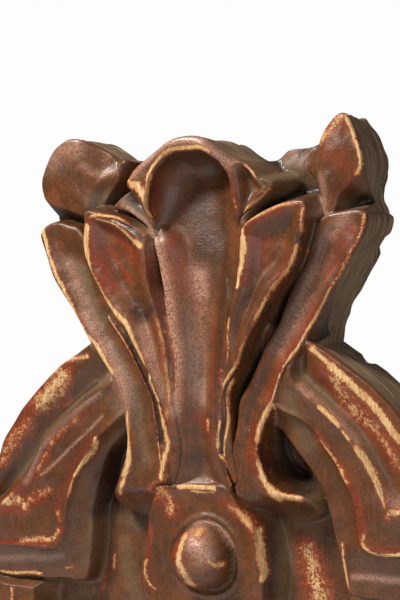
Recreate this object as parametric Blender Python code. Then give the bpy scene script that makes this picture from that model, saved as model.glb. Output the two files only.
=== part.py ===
"""Carved wood wall applique: a palmette crest that rises through an oval strapwork frame.

One plank, carved from the front and flat behind. The front faces -Y, the back lies in the plane y = 0, and the
origin is on the back, straight behind the round boss. The carving is a relief: the height of the wood above the
back is a function of the place (x, z) on the face. Layers are laid one over another as a carver cuts them, back
to front: ground, frame, blocks, ears, outer leaves, sheath, inner leaves, hood, strap plate and boss.
Lengths are metres. Outlines are drawn in units of a full-size millimetre, and HEIGHT sets their scale.
"""

import bpy
import bmesh
import numpy as np
from mathutils import Vector
from mathutils.geometry import delaunay_2d_cdt

# Overall sizes
HEIGHT = 0.639
DRAWN_HEIGHT = 639
UNIT = HEIGHT / DRAWN_HEIGHT
THICKNESS = 0.054

# Levels of the carving, down (sink) or up (rise) from the rim's level
FIELD_SINK = 0.032
WEB_SINK = 0.030
HOLLOW_SINK = 0.011
BORDER_SINK = 0.014
ARRIS_SINK = 0.003
CREST_RISE = 0.001
GROOVE_SINK = 0.008
BLOCK_SINK = 0.008
PLATE_SINK = 0.005
EAR_SINK = 0.001
LEFT_EAR_DROP = 0.008
RIGHT_EAR_DROP = 0.021
RIDGE_SINK = 0.007
OUTER_LEAF_RISE = 0.001
FOOT_DROP = 0.028
SHEATH_RISE = 0.006
SHEATH_DROP = 0.012
INNER_LEAF_RISE = 0.014
INNER_LEAF_DROP = 0.018
HOOD_RISE = 0.019
BOSS_RISE = 0.021
RING_RISE = 0.0018

# Edges and hollows
ROUND_OVER = 0.0025
BEAD = 0.004
WALL_SLOPE = 5.0
SHOULDER_SLOPE = 2.2
LEAF_DISH = 0.009
OUTER_LEAF_DISH = 0.004
DISH_REACH = 0.016
CHANNEL_REACH = 0.020
PLATE_DISH = 0.002
HOOD_RIM = 0.008
RING_WIDTH = 0.003
HOLLOW_SPREAD = 0.013

# From here to the mesh, drawing units: x across the face, z up from the boss
FRAME_CENTRE = (-3, -31)
RIM_RADIUS = 211
MIRROR_LINE = -66
BOSS_CENTRE = (-2, -3)
BOSS_RADIUS = 25
RING_RADIUS = 30
HOLLOWS = [(-104, 50), (64, 56)]
CREST_START = 150
CREST_BLEND = 20
EAR_INNER = 84
EAR_FALL = 22
FOOT_START = 22
FOOT_LENGTH = 26
SHEATH_START = 40
SHEATH_LENGTH = 90
INNER_LEAF_START = 50
INNER_LEAF_LENGTH = 110
HOOD_LIP_END = 240
HOOD_LIP_LENGTH = 28
RIDGE_HALF_WIDTH = 10

# Level of the middle channel under the rim's level, at heights along it
CHANNEL_SINKS = [(40, 0.016), (60, 0.011), (110, 0.006), (190, 0.001), (225, 0.003), (262, 0.008),
                 (300, 0.014)]

# Lines of the frame's bands, from the side channel round to the top channel, left and then right
BANDS = {
    "border": [
        [(-300, -31), (-150, -31), (-121, -30), (-113, -22), (-109, 10), (-102, 46), (-92, 70), (-78, 86),
         (-54, 100), (-42, 112), (-40, 132), (-40, 300)],
        [(300, -27), (150, -27), (120, -27), (110, -21), (102, 8), (94, 44), (82, 65), (67, 84), (50, 100),
         (41, 113), (40, 132), (40, 300)],
    ],
    "arris": [
        [(-300, -3), (-150, -3), (-137, -1), (-130, 6), (-125, 28), (-117, 50), (-96, 83), (-78, 97), (-62, 108),
         (-57, 120), (-56, 138), (-56, 300)],
        [(300, 8), (150, 8), (134, 9), (127, 15), (123, 34), (117, 54), (97, 88), (83, 101), (64, 111),
         (57, 122), (56, 138), (56, 300)],
    ],
    "crest": [
        [(-300, 28), (-200, 28), (-182, 31), (-165, 46), (-152, 65), (-136, 86), (-112, 106), (-88, 120),
         (-77, 131), (-75, 148), (-75, 300)],
        [(300, 37), (180, 37), (158, 38), (147, 44), (136, 63), (125, 83), (112, 99), (90, 116), (78, 129),
         (75, 148), (75, 300)],
    ],
    "groove": [
        [(-300, 37), (-205, 37), (-188, 40), (-172, 54), (-159, 71), (-142, 94), (-117, 114), (-96, 126),
         (-86, 136), (-84, 150), (-84, 300)],
        [(300, 45), (180, 45), (163, 46), (153, 52), (142, 68), (131, 88), (118, 105), (96, 122), (85, 134),
         (82, 150), (82, 300)],
    ],
}

# Closed outlines of the layers
OUTLINES = {
    "web": [(-78, 140), (-98, 172), (-118, 206), (-137, 240), (-143, 258), (-139, 275), (-122, 300),
            (-100, 309), (-88, 302), (-70, 301), (-50, 297), (-20, 304), (20, 302), (44, 293), (57, 294),
            (66, 299), (82, 300), (105, 308), (126, 298), (132, 280), (131, 262), (134, 245), (116, 206),
            (98, 170), (80, 140), (0, 120)],
    "left_block": [(-236, -38), (-166, -38), (-162, -42), (-162, -90), (-166, -94), (-236, -94)],
    "right_block": [(236, -38), (160, -38), (156, -42), (156, -90), (160, -94), (236, -94)],
    "tail_leaf": [(-3, -56), (22, -66), (32, -92), (28, -130), (20, -175), (19, -215), (26, -248), (28, -272),
                  (19, -300), (-3, -319), (-25, -300), (-34, -272), (-32, -248), (-25, -215), (-26, -175),
                  (-34, -130), (-38, -92), (-28, -66)],
    "left_ear": [(-132, 268), (-139, 274), (-141, 286), (-137, 300), (-129, 311), (-117, 318), (-103, 317),
                 (-90, 312), (-80, 304), (-75, 297), (-72, 286), (-80, 275), (-91, 262), (-101, 257), (-114, 261),
                 (-125, 265)],
    "right_ear": [(84, 296), (93, 298), (101, 306), (109, 314), (117, 320), (124, 319), (129, 307), (132, 294),
                  (132, 281), (126, 272), (117, 263), (112, 252), (106, 240), (98, 243), (98, 260), (92, 274),
                  (82, 284)],
    "left_outer_leaf": [(-101, 244), (-112, 251), (-124, 254), (-135, 252), (-141, 247), (-141, 238), (-132, 217),
                        (-114, 186), (-96, 160), (-80, 136), (-69, 115), (-66, 95), (-67, 75), (-74, 52),
                        (-84, 36), (-80, 27), (-64, 22), (-42, 24), (-24, 45), (-20, 90), (-40, 150), (-70, 200)],
    "right_outer_leaf": [(96, 238), (107, 248), (120, 251), (132, 251), (138, 247), (136, 237), (126, 220),
                         (107, 190), (88, 160), (67, 127), (54, 100), (48, 80), (49, 68), (57, 53), (70, 47),
                         (86, 44), (91, 36), (83, 27), (66, 24), (44, 28), (32, 40), (26, 60), (26, 84),
                         (35, 115), (50, 145), (74, 187), (90, 218)],
    "sheath": [(-68, 263), (-54, 257), (-42, 248), (-35, 236), (-30, 220), (-26, 198), (-23, 165), (-21, 130),
               (-21, 95), (-24, 70), (-30, 42), (18, 42), (17, 70), (16, 100), (21, 130), (28, 165), (38, 195),
               (42, 222), (45, 240), (50, 258), (68, 272), (56, 280), (20, 294), (-30, 292), (-46, 280)],
    "left_inner_leaf": [(-90, 260), (-78, 258), (-64, 252), (-52, 246), (-42, 238), (-38, 225), (-35, 206),
                        (-29, 188), (-24, 165), (-21, 140), (-19, 116), (-19, 85), (-25, 54), (-31, 60),
                        (-29, 97), (-33, 122), (-44, 150), (-65, 180), (-82, 208), (-91, 230), (-92, 250)],
    "right_inner_leaf": [(95, 259), (84, 259), (70, 255), (56, 249), (46, 241), (43, 228), (40, 210), (36, 190),
                         (29, 168), (24, 145), (18, 122), (14, 98), (16, 75), (24, 54), (30, 58), (26, 75),
                         (25, 98), (32, 130), (46, 157), (65, 190), (83, 211), (93, 232), (97, 250)],
    "hood": [(-47, 278), (-47, 284), (-38, 293), (-26, 302), (-8, 310), (8, 311), (22, 307), (34, 299), (46, 290),
             (55, 282), (58, 272), (54, 263), (44, 254), (38, 248), (20, 240), (0, 236), (-22, 242), (-30, 253),
             (-35, 265)],
    "plate": [(-40, 50), (-4, 51), (16, 50), (28, 36), (38, 20), (43, 2), (46, -16), (43, -36), (28, -54),
              (-6, -64), (-40, -54), (-55, -36), (-58, -16), (-55, 4), (-51, 26), (-46, 42)],
}
SECOND_RIDGE = [(-97, 262), (-92, 277), (-82, 287), (-66, 297)]

# Fineness of the mesh, in metres
OUTLINE_STEP = 0.005
FIELD_STEP = 0.005
ROWS = (-0.0045, -0.0016, ROUND_OVER)
ROW_GAP = 0.0012
ROW_SLACK = 0.9
SHOULDER_FOOT = (ROUND_OVER + PLATE_SINK - FIELD_SINK) / SHOULDER_SLOPE
EXTRA_ROWS = {
    "hood": (HOOD_RIM, 2 * HOOD_RIM),
    "plate": (SHOULDER_FOOT,),
    "tail_leaf": (SHOULDER_FOOT,),
    "left_block": (SHOULDER_FOOT,),
    "right_block": (SHOULDER_FOOT,),
}
FIELD_GAP = 0.006
FIELD_MARGIN = 0.100
TRIANGLES = 9800
BACK_SNAP = 0.0002


def drawn(points):
    """Drawing units to metres."""
    return np.array(points, float) * UNIT


def spline(points, closed=True):
    """A Catmull-Rom curve through the points, cut into even lengths of about one outline step."""
    p = drawn(points)
    if closed:
        p = np.vstack([p[-1], p, p[0], p[1]])
    else:
        p = np.vstack([2 * p[0] - p[1], p, 2 * p[-1] - p[-2]])
    t = np.linspace(0, 1, 16, endpoint=False)[:, None]
    spans = []
    for a, b, c, d in zip(p, p[1:], p[2:], p[3:]):
        spans.append(b + 0.5 * t * (c - a + t * (2 * a - 5 * b + 4 * c - d + t * (3 * (b - c) + d - a))))
    line = np.vstack(spans + [p[-2][None]])
    along = np.append(0, np.cumsum(np.linalg.norm(np.diff(line, axis=0), axis=1)))
    cuts = np.linspace(0, along[-1], max(8, round(along[-1] / OUTLINE_STEP)) + 1)
    line = np.column_stack([np.interp(cuts, along, line[:, k]) for k in (0, 1)])
    return line[:-1] if closed else line


def distance_to(line, x, z, closed=True):
    """Distance to a line. For a closed one it is positive inside: there a ray crosses it an odd number of times."""
    best = np.full(x.shape, np.inf)
    inside = np.zeros(x.shape, bool)
    ends = np.roll(line, -1, axis=0) if closed else line[1:]
    for (ax, az), (bx, bz) in zip(line, ends):
        dx, dz = bx - ax, bz - az
        share = np.clip(((x - ax) * dx + (z - az) * dz) / (dx * dx + dz * dz), 0, 1)
        best = np.minimum(best, np.hypot(x - ax - share * dx, z - az - share * dz))
        if closed and dz:
            inside ^= ((az > z) != (bz > z)) & (x < ax + dx * (z - az) / dz)
    return np.where(inside, best, -best) if closed else best


def ease(t):
    """0 to 1 with a level start and end."""
    t = np.clip(t, 0, 1)
    return t * t * (3 - 2 * t)


def round_over(d):
    """A quarter round: nothing further in than its radius, and one radius lower at the edge."""
    s = np.clip(1 - d / ROUND_OVER, 0, 1)
    return ROUND_OVER * (np.sqrt(1 - s * s) - 1)


def lay(height, d, top, slope=WALL_SLOPE):
    """Lays a layer over the wood: top inside its outline, and outside it a wall down or up to what is there."""
    edge = top - ROUND_OVER
    walled = np.clip(height, edge + slope * d, edge - slope * d)
    return np.where(d > 0, top + round_over(d), walled)


def dish(d, depth, bead=BEAD, reach=DISH_REACH):
    """A bead left along the edge, and a hollow inside it."""
    return -depth * ease((d - bead) / reach)


def circle(centre, radius, sides):
    """A ring of points in drawing units, made metres."""
    turns = np.linspace(0, 2 * np.pi, sides, endpoint=False)
    return drawn(np.column_stack([centre[0] + radius * np.cos(turns), centre[1] + radius * np.sin(turns)]))


def oval():
    """The frame's outline: a half circle above the mirror line, and the same half below it."""
    upper = circle(FRAME_CENTRE, RIM_RADIUS, 180)[:91]
    return np.vstack([upper, mirrored(upper)])


def mirrored(line):
    """The same line in the lower half."""
    return np.column_stack([line[::-1, 0], 2 * MIRROR_LINE * UNIT - line[::-1, 1]])


def band_regions(sides):
    """Closed regions beyond one line of the frame's bands, on the left and on the right."""
    lines = [spline(side, closed=False) for side in sides]
    return [np.vstack([line, (line[0][0], line[-1][1])]) for line in lines]


def draw_lines():
    """Every line of the drawing in metres: closed outlines by name, and band lines as lists of regions."""
    lines = {name: spline(points) for name, points in OUTLINES.items()}
    lines["rim"] = oval()
    lines["boss"] = circle(BOSS_CENTRE, BOSS_RADIUS, 28)
    for name, sides in BANDS.items():
        lines[name] = band_regions(sides)
    return lines


def carve_frame(height, lines, x, z):
    """The frame's four arms: wall, cove, arris, crest, groove and outer band, the lower two mirrored."""
    folded = MIRROR_LINE * UNIT + np.abs(z - MIRROR_LINE * UNIT)
    border, arris, crest, groove = [np.maximum(*[distance_to(region, x, folded) for region in lines[name]])
                                    for name in ("border", "arris", "crest", "groove")]
    rim = distance_to(lines["rim"], x, z)
    low, edge, high, deep = (THICKNESS - BORDER_SINK, THICKNESS - ARRIS_SINK, THICKNESS + CREST_RISE,
                             THICKNESS - GROOVE_SINK)

    def between(near, beyond):
        return np.clip(near / np.maximum(near - beyond, 1e-6), 0, 1)

    cove = low + (edge - low) * between(border, arris) ** 1.8
    slope = edge + (high - edge) * between(arris, crest)
    fall = high + (deep - high) * ease(between(crest, groove))
    band = deep + (THICKNESS - deep) * ease(1.6 * groove / np.maximum(groove + rim, 1e-6))
    top = np.select([groove > 0, crest > 0, arris > 0], [band, fall, slope], cove)
    return lay(height, np.minimum(border, rim), top)


def carve_ears(height, d, x):
    """The two ears. Each falls towards the valley beside the hood, and a ridge runs up beside the left one."""
    inner = 1 - ease((np.abs(x) - EAR_INNER * UNIT) / (EAR_FALL * UNIT))
    height = lay(height, d["left_ear"], THICKNESS - EAR_SINK - LEFT_EAR_DROP * inner, SHOULDER_SLOPE)
    height = lay(height, d["right_ear"], THICKNESS - EAR_SINK - RIGHT_EAR_DROP * inner, SHOULDER_SLOPE)
    ridge = THICKNESS - RIDGE_SINK - RIDGE_SINK * (d["ridge"] / (RIDGE_HALF_WIDTH * UNIT)) ** 2 * 2
    return np.where(d["left_ear"] > 0, height, np.maximum(height, ridge))


def carve_leaves(height, d, x, z):
    """Outer leaves, the sheath with its channel, and the inner leaves, all sinking towards the strap plate."""
    foot = FOOT_DROP * (1 - ease((z / UNIT - FOOT_START) / FOOT_LENGTH))
    for name in ("left_outer_leaf", "right_outer_leaf"):
        top = THICKNESS + OUTER_LEAF_RISE - foot
        height = lay(height, d[name], top + dish(d[name], OUTER_LEAF_DISH))

    crown = THICKNESS + SHEATH_RISE - SHEATH_DROP * (1 - ease((z / UNIT - SHEATH_START) / SHEATH_LENGTH))
    floor = channel_floor(z)
    height = lay(height, d["sheath"], crown + (floor - crown) * ease((d["sheath"] - BEAD) / CHANNEL_REACH))

    risen = ease((z / UNIT - INNER_LEAF_START) / INNER_LEAF_LENGTH)
    top = THICKNESS + INNER_LEAF_RISE - INNER_LEAF_DROP * (1 - risen)
    for name in ("left_inner_leaf", "right_inner_leaf"):
        height = lay(height, d[name], top + dish(d[name], LEAF_DISH))
    return height


def channel_floor(z):
    """Level of the middle channel: deep under the hood, full at half height, and sinking behind the strap."""
    heights, sinks = zip(*CHANNEL_SINKS)
    return THICKNESS - np.interp(z / UNIT, heights, sinks)


def carve_hood(height, d, z):
    """A scoop with a rolled rim, whose rim runs out downwards so that its floor becomes the channel."""
    floor = channel_floor(z)
    high = ease((z / UNIT - HOOD_LIP_END) / HOOD_LIP_LENGTH)
    kept = floor + (height - floor) * (1 - high)
    rim = floor + (THICKNESS + HOOD_RISE - floor) * high
    rolled = floor + (rim - floor) * (1 - ease((d["hood"] - HOOD_RIM) / HOOD_RIM))
    inside = np.maximum(kept, rolled) + round_over(d["hood"]) * high
    outside = np.maximum(height, rim - ROUND_OVER + WALL_SLOPE * d["hood"])
    return np.where(d["hood"] > 0, inside, np.where(high > 0, outside, height))


def carve_plate(height, d, x, z):
    """The strap plate, and on it a thin ring and the round boss."""
    height = lay(height, d["plate"], THICKNESS - PLATE_SINK + dish(d["plate"], PLATE_DISH), SHOULDER_SLOPE)
    centre_x, centre_z = drawn(BOSS_CENTRE)
    out = np.hypot(x - centre_x, z - centre_z)
    height = height + RING_RISE * ease(1 - np.abs(out - RING_RADIUS * UNIT) / RING_WIDTH)
    dome = np.sqrt(np.clip(1 - (out / (BOSS_RADIUS * UNIT)) ** 2, 0, 1))
    return np.where(dome > 0, np.maximum(height, THICKNESS - PLATE_SINK + (PLATE_SINK + BOSS_RISE) * dome), height)


def relief(lines, x, z):
    """Height of the wood above the back at each place on the face."""
    d = {name: distance_to(lines[name], x, z) for name in OUTLINES}
    d["ridge"] = distance_to(spline(SECOND_RIDGE, closed=False), x, z, closed=False)
    high = ease((z / UNIT - CREST_START) / CREST_BLEND)
    height = THICKNESS - FIELD_SINK + (FIELD_SINK - WEB_SINK) * high
    for centre_x, centre_z in drawn(HOLLOWS):
        height = height - HOLLOW_SINK * np.exp(-((x - centre_x) ** 2 + (z - centre_z) ** 2) / HOLLOW_SPREAD ** 2)
    height = carve_frame(height, lines, x, z)
    for name in ("left_block", "right_block"):
        height = lay(height, d[name], THICKNESS - BLOCK_SINK, SHOULDER_SLOPE)
    height = lay(height, d["tail_leaf"], THICKNESS - PLATE_SINK + dish(d["tail_leaf"], OUTER_LEAF_DISH),
                 SHOULDER_SLOPE)
    height = carve_ears(height, d, x)
    height = carve_leaves(height, d, x, z)
    height = carve_hood(height, d, z)
    return carve_plate(height, d, x, z)


def silhouette(lines, x, z):
    """Positive where there is wood: inside the frame, the web, an ear, an outer leaf, the hood or the tail leaf."""
    names = ("rim", "web", "left_ear", "right_ear", "left_outer_leaf", "right_outer_leaf", "hood", "tail_leaf")
    return np.max([distance_to(lines[name], x, z) for name in names], axis=0)


def stacked(lines):
    """The lines in the order in which the layers are laid, each with the rows of points that go beside it."""
    stack = [(lines["rim"], ROWS)]
    for name in BANDS:
        for line in lines[name]:
            stack += [(line, ROWS), (mirrored(line), ROWS)]
    return stack + [(lines[name], ROWS + EXTRA_ROWS.get(name, ())) for name in (*OUTLINES, "boss")]


def hidden(stack, order, x, z):
    """How far each place lies under the layers laid after one of them. Bands also hide beyond the rim."""
    later = [distance_to(line, x, z) for line, _ in stack[max(order, 4 * len(BANDS)) + 1:]]
    if 0 < order <= 4 * len(BANDS):
        later.append(-distance_to(stack[0][0], x, z))
    return np.max(later, axis=0) if later else np.full(x.shape, -np.inf)


def row_beside(line, offset):
    """Points at one distance inside a closed line, left out where they come near another part of it."""
    ahead = np.roll(line, -1, axis=0) - np.roll(line, 1, axis=0)
    normal = np.column_stack([-ahead[:, 1], ahead[:, 0]]) / np.linalg.norm(ahead, axis=1)[:, None]
    area = np.sum(line[:, 0] * np.roll(line[:, 1], -1) - np.roll(line[:, 0], -1) * line[:, 1])
    row = line + normal * np.sign(area) * offset
    return row[np.abs(distance_to(line, *row.T)) > abs(offset) * ROW_SLACK]


def mesh_points(lines):
    """Points for the mesh, and the edges that it must have: the lines where no later layer hides them."""
    stack = stacked(lines)
    spines, edges, count = [], [], 0
    for order, (line, _) in enumerate(stack):
        seen = hidden(stack, order, *line.T) < OUTLINE_STEP
        k = np.flatnonzero(seen & np.roll(seen, -1))
        spines.append(np.stack([line[k], line[(k + 1) % len(line)]], axis=1))
        edges.append(np.column_stack([k, (k + 1) % len(line)]) + count)
        count += len(line)
    spines = np.vstack(spines)

    def clear_of_lines(points, gap):
        best = np.full(len(points), np.inf)
        for ends in spines:
            best = np.minimum(best, distance_to(ends, *points.T, closed=False))
        return points[best > gap]

    rows = []
    for order, (line, offsets) in enumerate(stack):
        for offset in offsets:
            row = row_beside(line, offset)
            row = row[hidden(stack, order, *row.T) < -ROW_GAP]
            rows.append(clear_of_lines(row, ROW_GAP))
    corner = np.max(np.abs(lines["rim"]), axis=0) + FIELD_MARGIN
    x, z = [a.ravel() for a in np.meshgrid(*[np.arange(-reach, reach, FIELD_STEP) for reach in corner])]
    field = np.column_stack([x + FIELD_STEP / 2 * (np.round(z / FIELD_STEP) % 2), z])
    rows.append(clear_of_lines(field[silhouette(lines, *field.T) > 0], FIELD_GAP))
    used, edges = np.unique(np.vstack(edges), return_inverse=True)
    return np.vstack([np.vstack([line for line, _ in stack])[used]] + rows), edges.reshape(-1, 2)


def carved_plank():
    """The closed solid: the carved face, straight sides and the flat back."""
    lines = draw_lines()
    points, edges = mesh_points(lines)
    points, edges = [Vector(p) for p in points], [tuple(map(int, e)) for e in edges]
    flat, _, faces, *_ = delaunay_2d_cdt(points, edges, [], 0, 1e-5)
    place = np.array([tuple(p) for p in flat])
    faces = np.array([f for f in faces if len(f) == 3])
    centre = place[faces].mean(axis=1)
    faces = faces[silhouette(lines, centre[:, 0], centre[:, 1]) > 0]
    used, faces = np.unique(faces, return_inverse=True)
    place, faces = place[used], faces.reshape(-1, 3)
    height = relief(lines, place[:, 0], place[:, 1])

    bm = bmesh.new()
    front = [bm.verts.new((x, -h, z)) for (x, z), h in zip(place, height)]
    back = [bm.verts.new((x, 0, z)) for x, z in place]
    for a, b, c in faces:
        bm.faces.new((front[a], front[b], front[c]))
        bm.faces.new((back[c], back[b], back[a]))
    twin = dict(zip(front, back))
    for edge in [e for e in bm.edges if e.is_boundary and e.verts[0] in twin]:
        a, b = edge.verts
        bm.faces.new((a, b, twin[b], twin[a]))
    bmesh.ops.triangulate(bm, faces=bm.faces[:])
    bmesh.ops.recalc_face_normals(bm, faces=bm.faces[:])
    mesh = bpy.data.meshes.new("carved_plank")
    bm.to_mesh(mesh)
    bm.free()
    return mesh


def thinned(mesh):
    """The mesh with fewer triangles where it is flat, and its back laid exactly in the plane y = 0."""
    scratch = bpy.data.objects.new("scratch", mesh)
    bpy.context.scene.collection.objects.link(scratch)
    fewer = scratch.modifiers.new("fewer", "DECIMATE")
    fewer.ratio = min(1, TRIANGLES / len(mesh.polygons))
    bpy.context.view_layer.update()
    ready = bpy.data.meshes.new_from_object(scratch.evaluated_get(bpy.context.evaluated_depsgraph_get()))
    bpy.data.objects.remove(scratch)
    for v in ready.vertices:
        if abs(v.co.y) < BACK_SNAP:
            v.co.y = 0
    return ready


def old_lacquer():
    """Dark red-brown lacquer, half matt."""
    colour = (0.085, 0.032, 0.016, 1)
    material = bpy.data.materials.new("old_lacquer")
    material.use_nodes = True
    surface = material.node_tree.nodes["Principled BSDF"]
    surface.inputs["Base Color"].default_value = colour
    surface.inputs["Roughness"].default_value = 0.42
    surface.inputs["Metallic"].default_value = 0
    material.diffuse_color = colour
    return material


def main():
    for old in list(bpy.data.objects):
        bpy.data.objects.remove(old)
    mesh = thinned(carved_plank())
    mesh.name = "carved_applique"
    mesh.materials.append(old_lacquer())
    mesh.shade_smooth()
    mesh.set_sharp_from_angle(angle=np.radians(40))
    applique = bpy.data.objects.new("carved_applique", mesh)
    bpy.context.scene.collection.objects.link(applique)


main()
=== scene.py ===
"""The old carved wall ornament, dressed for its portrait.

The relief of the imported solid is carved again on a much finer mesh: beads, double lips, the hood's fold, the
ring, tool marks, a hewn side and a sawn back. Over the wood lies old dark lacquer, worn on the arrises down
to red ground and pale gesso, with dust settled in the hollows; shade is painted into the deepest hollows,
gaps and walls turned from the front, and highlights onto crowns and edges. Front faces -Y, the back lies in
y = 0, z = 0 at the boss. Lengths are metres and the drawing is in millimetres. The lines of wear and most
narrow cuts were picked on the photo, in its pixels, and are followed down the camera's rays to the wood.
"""

import bpy
import numpy as np
from mathutils import Matrix, Vector
from mathutils.geometry import delaunay_2d_cdt


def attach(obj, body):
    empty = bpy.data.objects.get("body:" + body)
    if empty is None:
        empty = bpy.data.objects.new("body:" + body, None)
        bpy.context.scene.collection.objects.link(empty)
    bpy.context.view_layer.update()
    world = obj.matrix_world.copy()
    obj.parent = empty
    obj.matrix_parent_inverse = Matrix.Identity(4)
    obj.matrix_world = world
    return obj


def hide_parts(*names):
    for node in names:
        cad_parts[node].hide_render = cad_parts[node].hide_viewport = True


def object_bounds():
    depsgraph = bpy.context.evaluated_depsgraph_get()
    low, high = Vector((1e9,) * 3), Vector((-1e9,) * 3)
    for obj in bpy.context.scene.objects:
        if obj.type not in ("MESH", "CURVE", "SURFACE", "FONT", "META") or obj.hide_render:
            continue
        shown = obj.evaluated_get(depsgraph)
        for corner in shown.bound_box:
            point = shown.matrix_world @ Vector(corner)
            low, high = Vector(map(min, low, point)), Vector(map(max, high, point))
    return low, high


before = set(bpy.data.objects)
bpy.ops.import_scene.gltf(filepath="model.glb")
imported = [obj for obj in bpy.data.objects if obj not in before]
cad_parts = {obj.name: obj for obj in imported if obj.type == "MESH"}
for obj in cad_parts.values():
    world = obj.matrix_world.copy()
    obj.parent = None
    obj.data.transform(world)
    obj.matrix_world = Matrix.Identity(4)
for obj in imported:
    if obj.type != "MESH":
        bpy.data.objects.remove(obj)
CAD_BOX = [list(map(float, corner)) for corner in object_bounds()]

MM = 0.001

# The photo's camera: its turn to the right, its roll, its distance from the point that it aims at, its lens
# and film in millimetres, and its picture in pixels
TURN, ROLL, AWAY = np.radians(29), np.radians(1.5), 1.125
AIM = np.array([0, -0.050, 0.190])
AHEAD = np.array([-np.sin(TURN), np.cos(TURN), 0])
RIGHT = np.array([np.cos(TURN), np.sin(TURN), 0])
LENS, SENSOR = 90, 36
PICTURE = np.array([400, 600])

# How its rays are followed: levels tried from the top down, pixels to each side, and which lines are narrow
# and fine
LEVELS = np.arange(78, 12, -0.4) * MM
ASIDE = 2.5
NARROW = 3
FINE = 1

# Levels of the wood above the back, most of them under or over the rim's
THICKNESS = 54 * MM
FIELD = THICKNESS - 32 * MM
WEB = THICKNESS - 30 * MM
HOLLOW_SINK = 11 * MM
BORDER = THICKNESS - 14 * MM
ARRIS = THICKNESS - 3 * MM
CREST = THICKNESS + 1 * MM
GROOVE = THICKNESS - 8 * MM
BLOCK = THICKNESS - 8 * MM
PLATE = THICKNESS - 5 * MM
EAR = THICKNESS - 1 * MM
OUTER_LEAF = THICKNESS + 1 * MM
SHEATH = THICKNESS + 6 * MM
INNER_LEAF = THICKNESS + 14 * MM
HOOD = THICKNESS + 19 * MM
FOLD_DROP = 12 * MM
BOSS = THICKNESS + 21 * MM

ROUND_OVER = 2.2 * MM
WALL = 5.0
SHOULDER = 2.2
FAR = 0.06

# Fineness of the mesh
LINE_STEP = 2.0 * MM
FIELD_STEP = 1.75 * MM
COARSE_STEP = 2.7 * MM
COARSE_BELOW = -105 * MM
ROWS = [offset * MM for offset in (-4.4, -3.0, -1.8, -0.8, 0.7, 1.5, 2.6, 3.8)]
ROW_GAP = 0.6 * MM
FIELD_GAP = 4.4 * MM
WALL_ROWS = 16

FRAME_CENTRE = (-3, -31)
RIM_RADIUS = 211
MIRROR_LINE = -66 * MM
BOSS_CENTRE = (-2, -3)
BOSS_RADIUS = 25
RING_RADIUS = 30 * MM
HOLLOWS = [(-104, 50), (64, 56)]
CREST_START = 150
CREST_BLEND = 20
EAR_INNER = 84
EAR_FALL = 22
FOOT_START = 22
FOOT_LENGTH = 26
SHEATH_START = 40
SHEATH_LENGTH = 90
INNER_LEAF_START = 50
INNER_LEAF_LENGTH = 110
HOOD_LIP_END = 232
HOOD_LIP_LENGTH = 36
HOOD_FADE = 20
SCOOP_REACH = 27
SINK_SPREAD = (-16, -8, 0, 8, 16)
RIDGE_HALF_WIDTH = 10

# Level of the middle channel under the rim's level, at heights along it
CHANNEL_SINKS = [(40, 16), (60, 11), (110, 6), (190, 1), (225, 3), (262, 9), (300, 16)]

# Lines of the frame's bands, from the side channel round to the top channel, left and then right
BANDS = {
    "border": [
        [(-300, -31), (-150, -31), (-121, -30), (-113, -22), (-109, 10), (-102, 46), (-92, 70), (-78, 86),
         (-54, 100), (-42, 112), (-40, 132), (-40, 300)],
        [(300, -27), (150, -27), (120, -27), (110, -21), (102, 8), (94, 44), (82, 65), (67, 84), (50, 100),
         (41, 113), (40, 132), (40, 300)],
    ],
    "arris": [
        [(-300, -3), (-150, -3), (-137, -1), (-130, 6), (-125, 28), (-117, 50), (-96, 83), (-78, 97),
         (-62, 108), (-57, 120), (-56, 138), (-56, 300)],
        [(300, 8), (150, 8), (134, 9), (127, 15), (123, 34), (117, 54), (97, 88), (83, 101), (64, 111),
         (57, 122), (56, 138), (56, 300)],
    ],
    "crest": [
        [(-300, 28), (-200, 28), (-182, 31), (-165, 46), (-152, 65), (-136, 86), (-112, 106), (-88, 120),
         (-77, 131), (-75, 148), (-75, 300)],
        [(300, 37), (180, 37), (158, 38), (147, 44), (136, 63), (125, 83), (112, 99), (90, 116), (78, 129),
         (75, 148), (75, 300)],
    ],
    "groove": [
        [(-300, 37), (-205, 37), (-188, 40), (-172, 54), (-159, 71), (-142, 94), (-117, 114), (-96, 126),
         (-86, 136), (-84, 150), (-84, 300)],
        [(300, 45), (180, 45), (163, 46), (153, 52), (142, 68), (131, 88), (118, 105), (96, 122), (85, 134),
         (82, 150), (82, 300)],
    ],
}

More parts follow.
